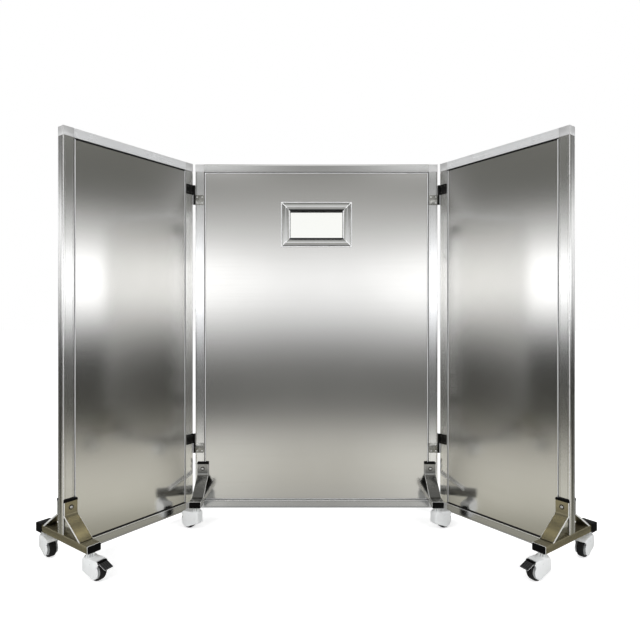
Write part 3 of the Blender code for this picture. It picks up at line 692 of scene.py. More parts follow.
# Painted highlight: near-white, barely metallic strips on the window trim's lips and mitre lines
PAINTED_HIGHLIGHT_LIP = Finish("painted_highlight_lip", (0.98, 0.98, 0.98), (0.95, 0.95, 0.95), 0.30, 0.10,
    Texture(Grain.LEVEL, 20.0, 1600.0, 0.0000004, 0.05, 8.0, 0.03))
SCREW_PAINTED_SHADE = Finish("painted_shade_hinge_screw", (0.10, 0.10, 0.095), (0.05, 0.05, 0.048), 0.28, 1.0, PLATED)
BRIGHT_ZINC = Finish("bright_zinc_fastener", (0.86, 0.86, 0.86), (0.72, 0.72, 0.73), 0.22, 1.0,
    PLATED)
DULL_LEAD = Finish("rolled_lead_sheet", (0.23, 0.24, 0.26), (0.17, 0.175, 0.19), 0.58, 1.0,
    Texture(Grain.LEVEL, 10.0, 300.0, 0.00001, 0.12, 8.0, 0.10, 0.0005))
WHITE_PLASTIC = Finish("white_caster_plastic", (0.85, 0.86, 0.86), (0.78, 0.79, 0.79), 0.36, 0.0,
    Texture(Grain.NONE, 900.0, 900.0, 0.0000015, 0.06, 26.0, 0.08), 0.15)
GREY_PLASTIC = Finish("grey_neck_plastic", (0.24, 0.245, 0.25), (0.18, 0.185, 0.19), 0.42, 0.0,
    Texture(Grain.NONE, 900.0, 900.0, 0.000002, 0.08, 30.0, 0.08))
PEDAL_PLASTIC = Finish("dark_pedal_plastic", (0.040, 0.040, 0.041), (0.060, 0.060, 0.060), 0.42,
    0.0, Texture(Grain.NONE, 1100.0, 1100.0, 0.000006, 0.10, 40.0, 0.12), 0.0, 0.30)
BLACK_PLASTIC = Finish("black_end_plastic", (0.003, 0.003, 0.0032), (0.006, 0.006, 0.006), 0.55,
    0.0, Texture(Grain.NONE, 1100.0, 1100.0, 0.000006, 0.10, 30.0, 0.12), 0.0, 0.05)
TYRE_RUBBER = Finish("black_tyre_rubber", (0.010, 0.010, 0.0105), (0.020, 0.020, 0.0195), 0.62, 0.0,
    Texture(Grain.NONE, 1300.0, 1300.0, 0.000012, 0.10, 36.0, 0.14), 0.0, 0.20)


class FinishRack:
    """Makes each finish once for each heading that needs it."""

    def __init__(self) -> None:
        """Make the shared groups."""
        self.groups = {"strokes": grain_group(), "patches": cloud_group()}
        self.made: dict[tuple[str, int], bpy.types.Material] = {}

    def get(self, finish: Finish, heading: float = 0.0) -> bpy.types.Material:
        """Give the material of a finish.

        Args:
            finish: Finish that is wanted.
            heading: Turn about the vertical of the piece that wears it.

        Returns:
            The material.
        """
        key = (finish.name, round(math.degrees(heading)))
        if key not in self.made:
            self.made[key] = finish.build(self.groups, heading)
        return self.made[key]


# Sub-assemblies


def panel_front() -> float:
    """Give the y of the centre panel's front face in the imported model."""
    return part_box("centre_stile_left")[0].y


@dataclass(frozen=True)
class PanelPlan:
    """One leaf of the screen: its names, its frame and where its edges and face lie."""

    word: str
    body: str
    place: Matrix
    heading: float
    x_low: float
    x_high: float
    front: float
    side: Side | None = None
    thickness: float = 0.040
    bottom: float = 0.040
    top: float = 1.740

    @property
    def rear(self) -> float:
        """The y of the rear face."""
        return self.front + self.thickness

    @property
    def middle(self) -> float:
        """The y of the middle of the panel."""
        return (self.front + self.rear) / 2

    def faces(self, inset: float = 0.0) -> tuple[tuple[str, float, Vector], ...]:
        """Give the word, the y and the outward direction of the front and of the rear face."""
        return (("front", self.front + inset, -Y_AXIS), ("rear", self.rear - inset, Y_AXIS))

    def edges(self, inset: float = 0.0) -> tuple[tuple[Side, float], ...]:
        """Give each side of the panel and the x of its edge."""
        return ((Side.LEFT, self.x_low + inset), (Side.RIGHT, self.x_high - inset))


@dataclass
class PanelFrame:
    """Drawn metal channels, corner blocks and beads round one panel."""

    rack: FinishRack
    plan: PanelPlan
    stile_face: float = 0.044
    rail_face: float = 0.038
    wall: float = 0.0021
    lip: float = 0.0015
    groove_width: float = 0.0016
    groove_depth: float = 0.0008
    first_groove: float = 0.0085
    last_groove: float = 0.0065
    side_grooves: Span = (0.0125, 0.0275)
    seam: float = 0.0003
    skin_inset: float = 0.0023
    bead_width: float = 0.0070
    bead_start: float = 0.0032
    beam_top: float = 0.1313
    notch_reach: float = 0.075
    shadow_width: float = 0.0009
    arris_reach: float = 0.0030
    arris_cut: float = 0.0012
    arris_rise: float = 0.00015
    block_rounding: float = 0.0009

    def groove(self, middle: float) -> Outline:
        """Give the four points of a groove, from the surface down and back.

        Args:
            middle: Where the groove lies.

        Returns:
            The points as (place, depth).
        """
        half, deep = self.groove_width / 2, self.groove_depth
        return [(middle - half, 0.0), (middle - half / 2, deep), (middle + half / 2, deep),
                (middle + half, 0.0)]

    def section(self, face: float) -> Outline:
        """Outline of a channel, open towards the middle of the panel.

        Args:
            face: Width of its face.

        Returns:
            The points as distances inwards and from the front face.
        """
        deep = self.plan.thickness
        front = [(0.0, self.lip), (self.lip * 0.3, self.lip * 0.3), (self.lip, 0.0),
                 *self.groove(self.first_groove), *self.groove(face - self.last_groove),
                 (face - self.lip / 2, 0.0), (face, self.lip / 2), (face, self.wall),
                 (self.wall, self.wall)]
        web = [(depth, place) for middle in reversed(self.side_grooves)
               for place, depth in reversed(self.groove(middle))]
        return front + [(u, deep - v) for u, v in reversed(front)] + web

    def stile(self, node: str, x_edge: float, inward: float, bottom: float, foot_block: bool,
              finish: Finish) -> None:
        """Make an upright channel with its corner blocks.

        Args:
            node: Node that it stands for.
            x_edge: Outer edge of the panel there.
            inward: Direction to the middle of the panel, along x.
            bottom: Where it ends below.
            foot_block: Whether it has a corner block at its lower end.
            finish: Finish of the channel.
        """
        plan = self.plan
        piece = Piece(self.rack, node + "_profile", plan.place, plan.heading)
        high = plan.top - self.rail_face
        low = bottom + self.rail_face if foot_block else bottom
        across, run = X_AXIS * inward, Z_AXIS * (high - low)
        piece.add(run_shape(self.section(self.stile_face), Vector((x_edge, plan.front, low)),
                            across, Y_AXIS, run), finish)
        reach, rise, cut = self.arris_reach, self.arris_rise, self.arris_cut
        # Painted highlight along the stile's outer edge
        self.arris(piece, [(-rise, reach), (-rise, cut), (cut, -rise), (reach, -rise),
                           (reach, rise * 2), (rise * 2, reach)], x_edge, low, across, run)
        spans = ((high + self.seam, plan.top), (bottom, low - self.seam))
        for span in spans if foot_block else spans[:1]:
            piece.add(box_shape((x_edge, x_edge + inward * self.stile_face),
                                (plan.front, plan.rear), span, self.block_rounding),
                      CORNER_METAL)
        piece.finish(plan.body, "frame_steel", node)

    def arris(self, piece: Piece, line: Outline, x: float, z: float, inward: Vector,
              run: Vector) -> None:
        """Add a painted highlight line along a member's edge, front and rear.

        Args:
            piece: Stile or rail.
            line: Outline of the line.
            x: The x of the panel's edge there.
            z: The z of the panel's edge there.
            inward: Direction to the middle of the panel.
            run: Length and direction of the line.
        """
        for _, y, out in self.plan.faces():
            piece.add(run_shape(line, Vector((x, y, z)), inward, -out, run), PAINTED_HIGHLIGHT_EDGE)

    def rail(self, node: str, x_ends: Span, z_edge: float, inward: float,
             finish: Finish) -> Piece:
        """Make a level channel between two stiles.

        Args:
            node: Node that it stands for.
            x_ends: Where it starts and ends.
            z_edge: Outer edge of the panel there.
            inward: Direction to the middle of the panel, along z.
            finish: Finish of the rail.

        Returns:
            The piece, for more shapes.
        """
        plan = self.plan
        piece = Piece(self.rack, node + "_profile", plan.place, plan.heading)
        low, high = sorted(x_ends)
        across, run = Z_AXIS * inward, X_AXIS * (high - low)
        piece.add(run_shape(self.section(self.rail_face), Vector((low, plan.front, z_edge)),
                            across, Y_AXIS, run), finish)
        if inward > 0.0:
            # Painted highlight along the rail's inner edge
            near, far = self.rail_face - self.arris_reach, self.rail_face - 0.0001
            rise = self.arris_rise
            self.arris(piece, [(near, -rise), (far, -rise), (far, rise), (near, rise)], low,
                       z_edge, across, run)
        return piece

    def notch_edging(self, piece: Piece) -> None:
        """Add the folded edging of a wing's notch to its bottom rail.

        Args:
            piece: Bottom rail.
        """
        plan, sign, top = self.plan, self.plan.side.value, self.beam_top + self.wall
        x_end = dict(plan.edges())[plan.side]
        x_notch = x_end - sign * self.notch_reach
        x_stile = x_end - sign * (self.stile_face + self.seam)
        for x, low in (((x_notch - sign * self.wall, x_notch), plan.bottom),
                       ((x_notch, x_stile), self.beam_top)):
            piece.add(box_shape(x, (plan.front, plan.rear), (low, top), FINE_ROUNDING, 1),
                      PAINTED_SHADE_RAIL_METAL)

    def bead_sections(self, shaded: bool = False) -> list[tuple[Outline, Finish]]:
        """Outlines of the bead and of the painted-shade strips in the gaps on both its sides.

        Args:
            shaded: Whether the bead is painted shade, as above and below a wing's casing.

        Returns:
            Each outline, as distances inwards from the frame and out of the skin, and its finish.
        """
        low, near, far = 0.0001, self.bead_start, self.bead_width
        bead = [(near, low), (near, 0.0012), (near + 0.0007, 0.0019), ((near + far) / 2, 0.0021),
                (far - 0.0007, 0.0018), (far, 0.0010), (far, low)]
        edges = ((0.0002, near - 0.0001), (far + 0.0001, far + self.shadow_width))
        gaps = [([(start, low), (start, 0.0005), (end, 0.0005), (end, low)], PAINTED_SHADE_STRIP)
                for start, end in edges]
        # The bead is a painted highlight, or painted shade where shaded
        return [(bead, PAINTED_SHADE_STRIP if shaded else BEAD_PAINTED_HIGHLIGHT), *gaps]

    def beads(self) -> None:
        """Make the beads that hold the casing, front and rear, and stop them at a wing's notch."""
        plan = self.plan
        (_, x_low), (_, x_high) = sides = plan.edges(self.stile_face)
        z_low, z_high = plan.bottom + self.rail_face, plan.top - self.rail_face
        ends, mitres = [x_low, x_high], [1.0, 1.0]
        if plan.side:
            far = list(Side).index(plan.side)
            ends[far] = plan.edges()[far][1] - plan.side.value * (self.notch_reach + self.wall)
            mitres[far] = 0.0
        for word, skin, out in plan.faces(self.skin_inset):
            piece = Piece(self.rack, "%s_bead_%s" % (plan.word, word), plan.place, plan.heading)
            # On a wing the top bead is painted shade
            for section, finish in self.bead_sections(plan.side is not None):
                piece.add(run_shape(section, Vector((x_low, skin, z_high)), -Z_AXIS, out,
                                    X_AXIS * (x_high - x_low), (1.0, 1.0)), finish)
            for section, finish in self.bead_sections():
                for side, x_edge in sides:
                    notched = side is plan.side
                    bottom = self.beam_top + self.wall if notched else z_low
                    piece.add(run_shape(section, Vector((x_edge, skin, bottom)),
                                        X_AXIS * -side.value, out, Z_AXIS * (z_high - bottom),
                                        (0.0 if notched else 1.0, 1.0)), finish)
                # On a wing the bottom bead is painted shade
                piece.add(run_shape(section, Vector((ends[0], skin, z_low)), Z_AXIS, out,
                                    X_AXIS * (ends[1] - ends[0]), tuple(mitres)),
                          PAINTED_SHADE_STRIP if plan.side else finish)
            piece.finish(plan.body, "frame_steel")

    def dress_filling(self) -> None:
        """Give the casing and the lead sheet their finishes."""
        for suffix, finish in (("_casing", PANEL_STEEL), ("_lead_sheet", DULL_LEAD)):
            node = bpy.data.objects[self.plan.word + suffix]
            node.data.materials.clear()
            node.data.materials.append(self.rack.get(finish, self.plan.heading))

    def build_centre(self) -> None:
        """Make the frame of the centre panel."""
        plan = self.plan
        for side, x_edge in plan.edges():
            self.stile("centre_stile_" + side.word, x_edge, -side.value, plan.bottom, True,
                       CENTRE_STILE)
        inset = self.stile_face + self.seam
        ends = (plan.x_low + inset, plan.x_high - inset)
        for node, z_edge, inward, finish in (
                ("centre_top_rail", plan.top, -1.0, RAIL_METAL),
                ("centre_bottom_rail", plan.bottom, 1.0, PAINTED_SHADE_RAIL_METAL)):
            self.rail(node, ends, z_edge, inward, finish).finish(plan.body, "frame_steel", node)
        self.beads()
        self.dress_filling()

    def build_wing(self) -> None:
        """Make the frame of a wing."""
        plan, sign = self.plan, self.plan.side.value
        hinge_x, end_x = sorted((plan.x_low, plan.x_high), key=abs)
        inset = sign * (self.stile_face + self.seam)
        self.stile(plan.word + "_hinge_stile", hinge_x, sign, plan.bottom, True, HINGE_STILE_PAINTED_LIGHT)
        self.stile(plan.word + "_end_stile", end_x, -sign, self.beam_top, False, END_STILE_PAINTED_SHADE)
        top, bottom = plan.word + "_top_rail", plan.word + "_bottom_rail"
        self.rail(top, (hinge_x + inset, end_x - inset), plan.top, -1.0,
                  TOP_RAIL_METAL).finish(plan.body, "frame_steel", top)
        lower = self.rail(bottom, (hinge_x + inset, end_x - sign * self.notch_reach),
                          plan.bottom, 1.0, PAINTED_SHADE_RAIL_METAL)
        self.notch_edging(lower)
        lower.finish(plan.body, "frame_steel", bottom)
        self.beads()
        self.dress_filling()


@dataclass
class ViewingWindow:
    """Mitred trims with liners on both faces of the centre panel, round the lead glass."""

    rack: FinishRack
    plan: PanelPlan
    height: float = 1.442
    sight_width: float = 0.260
    sight_height: float = 0.132
    face: float = 0.045
    liner: float = 0.0117
    skin_inset: float = 0.0020
    glass_half: float = 0.0053
    mitre_seam: float = 0.0002
    mitre_width: float = 0.0034
    lip: float = 0.0030

    def sections(self, deep: float, upright: bool) -> list[tuple[Outline, Finish]]:
        """Outlines of a trim member: outer lip in painted highlight, crowned face, inner lip and a
        reveal in painted shade.

        Args:
            deep: Depth of the reveal below the skin.
            upright: Whether it is an upright member, whose inner lip is a painted highlight; a
                level member's inner lip is painted shade.

        Returns:
            Each outline, as distances inwards and out of the skin, and its finish.
        """
        face, lip = self.face, self.lip
        reveal = face - 0.0006
        return [
            ([(0.0, 0.0), (0.0, 0.0044), (0.0008, 0.0056), (lip - 0.0007, 0.0056),
              (lip, 0.0048), (lip, 0.0)], PAINTED_HIGHLIGHT_LIP),
            ([(lip, 0.0), (lip, 0.0034), (0.0048, 0.0060), (0.0085, 0.0092), (0.0140, 0.0113),
              (0.0200, 0.0120), (0.0258, 0.0117), (0.0300, 0.0106), (0.0335, 0.0080),
              (0.0370, 0.0046), (0.0404, 0.0016), (0.0404, 0.0)], TRIM_METAL),
            ([(0.0404, 0.0), (0.0404, 0.0042), (0.0412, 0.0050), (reveal - 0.0006, 0.0050),
              (reveal, 0.0044), (reveal, 0.0)], PAINTED_HIGHLIGHT_LIP if upright else PAINTED_SHADE_STRIP),
            # The reveal's liner is painted shade
            ([(face - self.liner, 0.0), (reveal, 0.0), (reveal, 0.0032), (face, 0.0032),
              (face, -deep), (face - self.liner, -deep)], PAINTED_SHADE_STRIP),
        ]

    def mitre_bar(self, deep: float, x_edge: float, z_edge: float, skin: float,
                  out: Vector) -> Shape:
        """Make the thin painted highlight line where two members meet.

        Args:
            deep: Depth of the reveal below the skin.
            x_edge: The x of the trim's corner.
            z_edge: The z of the trim's corner.
            skin: The y of the skin.
            out: Direction out of the skin.

        Returns:
            The line, as a thin plate on the mitre.
        """
        crown = self.sections(deep, True)[1][0]
        across = Vector((-math.copysign(1.0, x_edge), 0.0,
                         math.copysign(1.0, self.height - z_edge))).normalized()
        along = across.cross(out)
        outline = [(u * math.sqrt(2.0), v + 0.0003 if v else v) for u, v in crown]
        start = Vector((x_edge, skin, z_edge)) - along * (self.mitre_width / 2)
        return run_shape(outline, start, across, out, along * self.mitre_width)

    def build(self) -> None:
        """Make both trims and dress the glass."""
        plan, seam = self.plan, self.mitre_seam
        half_w = self.sight_width / 2 + self.face
        half_h = self.sight_height / 2 + self.face
        low, high = self.height - half_h, self.height + half_h
        level, upright = X_AXIS * 2 * (half_w - seam), Z_AXIS * 2 * (half_h - seam)
        for word, skin, out in plan.faces(self.skin_inset):
            deep = abs(plan.middle - skin) - self.glass_half
            node = "window_trim_" + word
            piece = Piece(self.rack, node + "_mitred", plan.place)
            for x, z, inward, run in ((seam - half_w, high, -Z_AXIS, level),
                                      (seam - half_w, low, Z_AXIS, level),
                                      (-half_w, low + seam, X_AXIS, upright),
                                      (half_w, low + seam, -X_AXIS, upright)):
                for section, finish in self.sections(deep, run is upright):
                    piece.add(run_shape(section, Vector((x, skin, z)), inward, out, run,
                                        (1.0, 1.0)), finish)
            # Painted highlight along each mitre
            for x_edge in (-half_w, half_w):
                for z_edge in (low, high):
                    piece.add(self.mitre_bar(deep, x_edge, z_edge, skin, out), PAINTED_HIGHLIGHT_LIP)
            piece.finish(plan.body, "frame_steel", node)
        glass = bpy.data.objects["lead_glass"]
        glass.data.materials.clear()
        glass.data.materials.append(LeadGlass().build(self.rack.groups))


@dataclass
class LiftOffHinge:
    """One lift-off hinge: a leaf with the pin on the centre, a leaf with the socket on the wing."""

    rack: FinishRack
    side: Side
    word: str
    height: float
    leaf_width: float = 0.043
    leaf_height: float = 0.048
    leaf_thickness: float = 0.003
    setback: float = 0.004
    proud: float = 0.0045
    knuckle_radius: float = 0.0055
    pin_radius: float = 0.003
    pin_span: Span = (-0.010, 0.030)
    screw_radius: float = 0.0042
    screw_rise: float = 0.0011
    screw_recess: float = 0.0016
    screw_margin: float = 0.0095
    corner_radius: float = 0.004
    seat_gap: float = 0.0003

    def leaf(self, name: str, place: Matrix, x_axis: float, y_axis: float, toward: float,
             z_span: Span, finishes: tuple[Finish, Finish]) -> Piece:
        """Make a leaf with its knuckle and four screws.

        Args:
            name: Name of the piece.
            place: Frame that the leaf is built in.
            x_axis: The x of the hinge's axis.
            y_axis: The y of the hinge's axis.
            toward: Direction of the leaf from the axis.
            z_span: Lower and upper end.
            finishes: Finish of the leaf and of its screws.

        Returns:
            The piece.
        """
        piece = Piece(self.rack, name, place)
        low, high = z_span
        back = y_axis + self.proud - self.seat_gap
        front = back - self.leaf_thickness
        x_tip = x_axis + toward * (self.setback + self.leaf_width)
        plate = box_shape((x_axis, x_tip), (front, back), z_span)
        corners = [edge for edge in edges_along(plate, Y_AXIS, self.leaf_thickness / 2)
                   if abs(edge.verts[0].co.x - x_tip) < self.seat_gap]
        bevel_edges(plate, corners, self.corner_radius, 4)
        middle = back - self.leaf_thickness / 2
        bevel_edges(plate, edges_where(plate, lambda at: at.y < middle), FINE_ROUNDING)
        piece.add(plate, finishes[0])
        piece.add(rod_shape(self.knuckle_radius, (x_axis, y_axis, low), (x_axis, y_axis, high),
                            28, SOFT_ROUNDING), HINGE_PAINTED_SHADE)
        margin = self.screw_margin
        for x in (x_axis + toward * (self.setback + margin), x_tip - toward * margin):
            for z in (low + margin, high - margin):
                piece.add(screw_head(self.screw_radius, self.screw_rise, self.screw_recess,
                                     Vector((x, front, z)), -Y_AXIS), finishes[1])
        return piece

    def build(self, centre: PanelPlan, wing: PanelPlan, axis_x: float) -> None:
        """Make both leaves.

        Args:
            centre: Plan of the centre panel.
            wing: Plan of the wing.
            axis_x: The x of the hinge's axis in the centre's frame.
        """
        name = "hinge_%s_%s" % (self.side.word, self.word)
        gap, sign, middle = self.seat_gap / 2, self.side.value, self.height
        lower = self.leaf(name + "_pin_leaf_plate", centre.place, axis_x, -self.proud, -sign,
                          (middle - self.leaf_height, middle - gap), (HINGE_PAINTED_REFLECTION, BRIGHT_ZINC))
        low, high = (middle + end for end in self.pin_span)
        lower.add(rod_shape(self.pin_radius, (axis_x, -self.proud, low),
                            (axis_x, -self.proud, high), 20, 0.0006), BRIGHT_ZINC)
        lower.finish(centre.body, "hinge_steel", name + "_pin_leaf")
        upper = self.leaf(name + "_wing_leaf_plate", wing.place, 0.0, 0.0, sign,
                          (middle + gap, middle + self.leaf_height), (HINGE_PAINTED_SHADE, SCREW_PAINTED_SHADE))
        upper.finish(wing.body, "hinge_steel", name + "_wing_leaf")


@dataclass
class TeeFoot:
    """A flat tube beam with two bent straps, their pads and the clamp bolt."""

    rack: FinishRack
    plan: PanelPlan
    word: str
    x_foot: float
    finish: Finish
    beam_width: float = 0.055
    beam_low: float = 0.101
    beam_high: float = 0.131
    reach: float = 0.172
    beam_rounding: float = 0.0030
    wall: float = 0.002
    strap_thickness: float = 0.005
    strap_inset: float = 0.0014
    pad_thickness: float = 0.004
    seat_gap: float = 0.0003
    strap_top: float = 0.2585
    cap_top: float = 0.268
    strap_bend: float = 0.205
    strap_foot_reach: float = 0.119
    slope_bow: float = 0.0016
    slope_steps: int = 8
    bend_rounding: float = 0.008
    bolt_height: float = 0.236
    bolt_radius: float = 0.004
    bolt_head: float = 0.0066
    bolt_rise: float = 0.0034
    bolt_recess: float = 0.0024
    washer_rise: float = 0.0010
    washer_sink: float = 0.0008
    pad_inset: float = 0.0004
    pad_drop: float = 0.002
    edge_inset: float = 0.0002
    cap_inset: float = 0.0003
    cap_corner: float = 0.0035
    cap_rounding: float = 0.0012
    weld_inset: float = 0.002
    washer_radius: float = 0.0098
    weld_radius: float = 0.0019
    plug_lip: float = 0.0013
    sleeve_wall: float = 0.0025
    sleeve_length: float = 0.042
    ring_growth: float = 1.006

    @property
    def place(self) -> Matrix:
        """Frame of the foot: origin on the panel's front face, over the floor."""
        return self.plan.place @ Matrix.Translation((self.x_foot, self.plan.front, 0.0))

    def strap_outline(self) -> Outline:
        """Side outline of a strap: upright tab, bend and a slightly bowed slope.

        Returns:
            The points, as the distance from the panel's face and the height.
        """
        inner = self.seat_gap + self.pad_thickness
        outer = inner + self.strap_thickness
        bend, seat = self.strap_bend, self.beam_high - 0.0008
        lean = math.atan2(self.strap_foot_reach - outer, bend - self.beam_high)
        tilt = math.tan(lean)
        inner_bend = bend - self.strap_thickness * math.tan(lean / 2)
        points = [(inner, self.strap_top), (inner, inner_bend),
                  (inner + (inner_bend - seat) * tilt, seat), (outer + (bend - seat) * tilt, seat)]
        for step in range(1, self.slope_steps):
            share = step / self.slope_steps
            sink = self.slope_bow * (2.0 * share - 1.0) ** 2 - self.slope_bow
            height = seat + (bend - seat) * share
            points.append((outer + (bend - height) * tilt - sink * math.cos(lean),
                           height - sink * math.sin(lean)))
        return points + [(outer, bend), (outer, self.strap_top)]

    def seat(self, facing: float) -> float:
        """Give the y of the panel's face that looks along a direction."""
        return 0.0 if facing < 0.0 else self.plan.thickness

    def strap(self, facing: float) -> Shape:
        """Make a strap of bent flat steel.

        Args:
            facing: Direction away from the panel.

        Returns:
            The strap.
        """
        half = self.beam_width / 2 - self.strap_inset
        shape = run_shape(self.strap_outline(), Vector((-half, self.seat(facing), 0.0)),
                          Y_AXIS * facing, Z_AXIS, X_AXIS * 2 * half)
        bends = [edge for edge in edges_along(shape, X_AXIS, half)
                 if abs(edge.verts[0].co.z - self.strap_bend) < 0.006]
        bevel_edges(shape, bends, self.bend_rounding, 5)
        return shape

    def cut_edge(self, facing: float, side: Side) -> Shape:
        """Make the cut edge along one side of a strap, lightened as a painted highlight.

        Args:
            facing: Direction away from the panel.
            side: Side of the strap.

        Returns:
            The edge.
        """
        insets = (self.strap_inset, self.edge_inset)
        inner, outer = (self.beam_width / 2 - inset for inset in insets)
        corner = Vector((side.value * inner, self.seat(facing), 0.0))
        shape = run_shape(self.strap_outline(), corner, Y_AXIS * facing, Z_AXIS,
                          X_AXIS * side.value * (outer - inner))
        rims = edges_where(shape, lambda at: abs(abs(at.x) - outer) < 0.0001)
        bevel_edges(shape, rims, FINE_ROUNDING, 1)
        return shape

    def cap(self, facing: float) -> Shape:
        """Make the soft cap over the tab's upper edge.

        Args:
            facing: Direction away from the panel.

        Returns:
            The cap.
        """
        half = self.beam_width / 2 - self.cap_inset
        depth = self.pad_thickness + self.strap_thickness
        back = self.seat(facing) + facing * self.seat_gap
        shape = box_shape((-half, half), (back, back + facing * depth),
                          (self.strap_top - 0.0004, self.cap_top))
        above = self.strap_top + 0.001
        corners = [edge for edge in edges_along(shape, Y_AXIS, depth / 2)
                   if edge.verts[0].co.z > above]
        bevel_edges(shape, corners, self.cap_corner, 4)
        top = [edge for edge in edges_where(shape, lambda at: at.z > above)
               if len(edge.link_faces) == 2 and edge.calc_face_angle(0.0) > math.radians(60.0)]
        bevel_edges(shape, top, self.cap_rounding, 3)
        return shape

    def weld(self, facing: float) -> Shape:
        """Make the weld bead along the strap's lower end.

        Args:
            facing: Direction away from the panel.

        Returns:
            The bead.
        """
        half = self.beam_width / 2 - self.weld_inset
        y = self.seat(facing) + facing * (self.strap_foot_reach + 0.0008)
        z = self.beam_high + 0.0003
        return rod_shape(self.weld_radius, (-half, y, z), (half, y, z), 12, SOFT_ROUNDING)

    def build(self) -> None:
        """Make the foot as one piece."""
        name = "foot_" + self.word
        piece = Piece(self.rack, name + "_welded", self.place)
        turn, deep, height = self.plan.heading, self.plan.thickness, self.bolt_height
        half = self.beam_width / 2 - self.pad_inset
        piece.add(self.tube((-self.reach, deep + self.reach)), self.finish, turn)
        piece.add(self.mouth_ring(), CUT_EDGE_HIGHLIGHT)
        for facing in (-1.0, 1.0):
            piece.add(self.strap(facing), self.finish, turn)
            for side in Side:
                piece.add(self.cut_edge(facing, side), CUT_EDGE_HIGHLIGHT)
            piece.add(self.weld(facing), WELD_STEEL)
            back = self.seat(facing) + facing * self.seat_gap
            piece.add(box_shape((-half, half),
                                (back, back + facing * (self.pad_thickness - 0.0001)),
                                (self.strap_bend + self.pad_drop, self.strap_top),
                                SOFT_ROUNDING),
                      BLACK_PLASTIC)
            piece.add(self.cap(facing), BLACK_PLASTIC)
            face = back + facing * (self.pad_thickness + self.strap_thickness)
            front = face + facing * self.washer_rise
            piece.add(rod_shape(self.washer_radius, (0.0, face - facing * self.washer_sink, height),
                                (0.0, front, height), 28, 0.0004), WELD_STEEL)
            piece.add(screw_head(self.bolt_head, self.bolt_rise, self.bolt_recess,
                                 Vector((0.0, front, height)), Y_AXIS * facing), BRIGHT_ZINC)
        tab = self.seat_gap + self.pad_thickness + self.strap_thickness / 2
        piece.add(rod_shape(self.bolt_radius, (0.0, -tab, height), (0.0, deep + tab, height), 16),
                  BRIGHT_ZINC)
        piece.finish(self.plan.body, "foot_steel", name)
        self.build_plug()
        self.build_sleeve()

    def tube(self, y: Span) -> Shape:
        """Make a length of the beam's rounded tube, open at both ends.

        Args:
            y: Where it starts and ends.

        Returns:
            The tube.
        """
        half = self.beam_width / 2
        shape = box_shape((-half, half), y, (self.beam_low, self.beam_high))
        bevel_edges(shape, edges_along(shape, Y_AXIS, (y[1] - y[0]) / 2), self.beam_rounding, 4)
        open_shell(shape, [face for face in shape.faces if abs(face.normal.y) > 0.9], self.wall)
        return shape

    def mouth_ring(self) -> Shape:
        """Make the cut end of the beam that shows round the plug, lightened as a painted highlight.

        Returns:
            The ring.
        """
        ring = self.tube((-self.reach - 0.0003, -self.reach + 0.0012))
        grow, middle = self.ring_growth, (self.beam_low + self.beam_high) / 2
        bmesh.ops.scale(ring, vec=(grow, 1.0, grow), verts=ring.verts,
                        space=Matrix.Translation((0.0, 0.0, -middle)))
        return ring

    def build_plug(self) -> None:
        """Make the plug in the beam's front end."""
        name = "end_plug_" + self.word
        piece = Piece(self.rack, name + "_moulded", self.place)
        mouth = -self.reach - self.seat_gap
        half, lip, inset = self.beam_width / 2, self.plug_lip, self.wall + 0.0006
        flange = box_shape((lip - half, half - lip), (mouth - 0.003, mouth),
                           (self.beam_low + lip, self.beam_high - lip))
        bevel_edges(flange, edges_along(flange, Y_AXIS, 0.001), self.beam_rounding, 4)
        bevel_edges(flange, edges_where(flange, lambda at: at.y < mouth - 0.002), 0.0009)
        piece.add(flange, BLACK_PLASTIC)
        piece.add(box_shape((inset - half, half - inset), (mouth - 0.001, mouth + 0.014),
                            (self.beam_low + inset, self.beam_high - inset), 0.0015),
                  BLACK_PLASTIC)
        piece.finish(self.plan.body, "black_plastic", name)

    def build_sleeve(self) -> None:
        """Make the slip-on sleeve of the beam's rear end, open below round the caster."""
        name = "end_sleeve_" + self.word
        piece = Piece(self.rack, name + "_moulded", self.place)
        grow = self.seat_gap + self.sleeve_wall
        reach, rear_end = self.beam_width / 2 + grow, self.plan.thickness + self.reach
        shell = box_shape((-reach, reach), (rear_end - self.sleeve_length, rear_end + grow),
                          (self.beam_low - grow, self.beam_high + grow))
        mouth = [face for face in shell.faces if min(face.normal.y, face.normal.z) < -0.9]
        bmesh.ops.delete(shell, geom=mouth, context="FACES_ONLY")
        bevel_edges(shell, [edge for edge in shell.edges if len(edge.link_faces) == 2], 0.0025, 3)
        open_shell(shell, [], self.sleeve_wall)
        piece.add(shell, BLACK_PLASTIC)
        piece.finish(self.plan.body, "black_plastic", name)


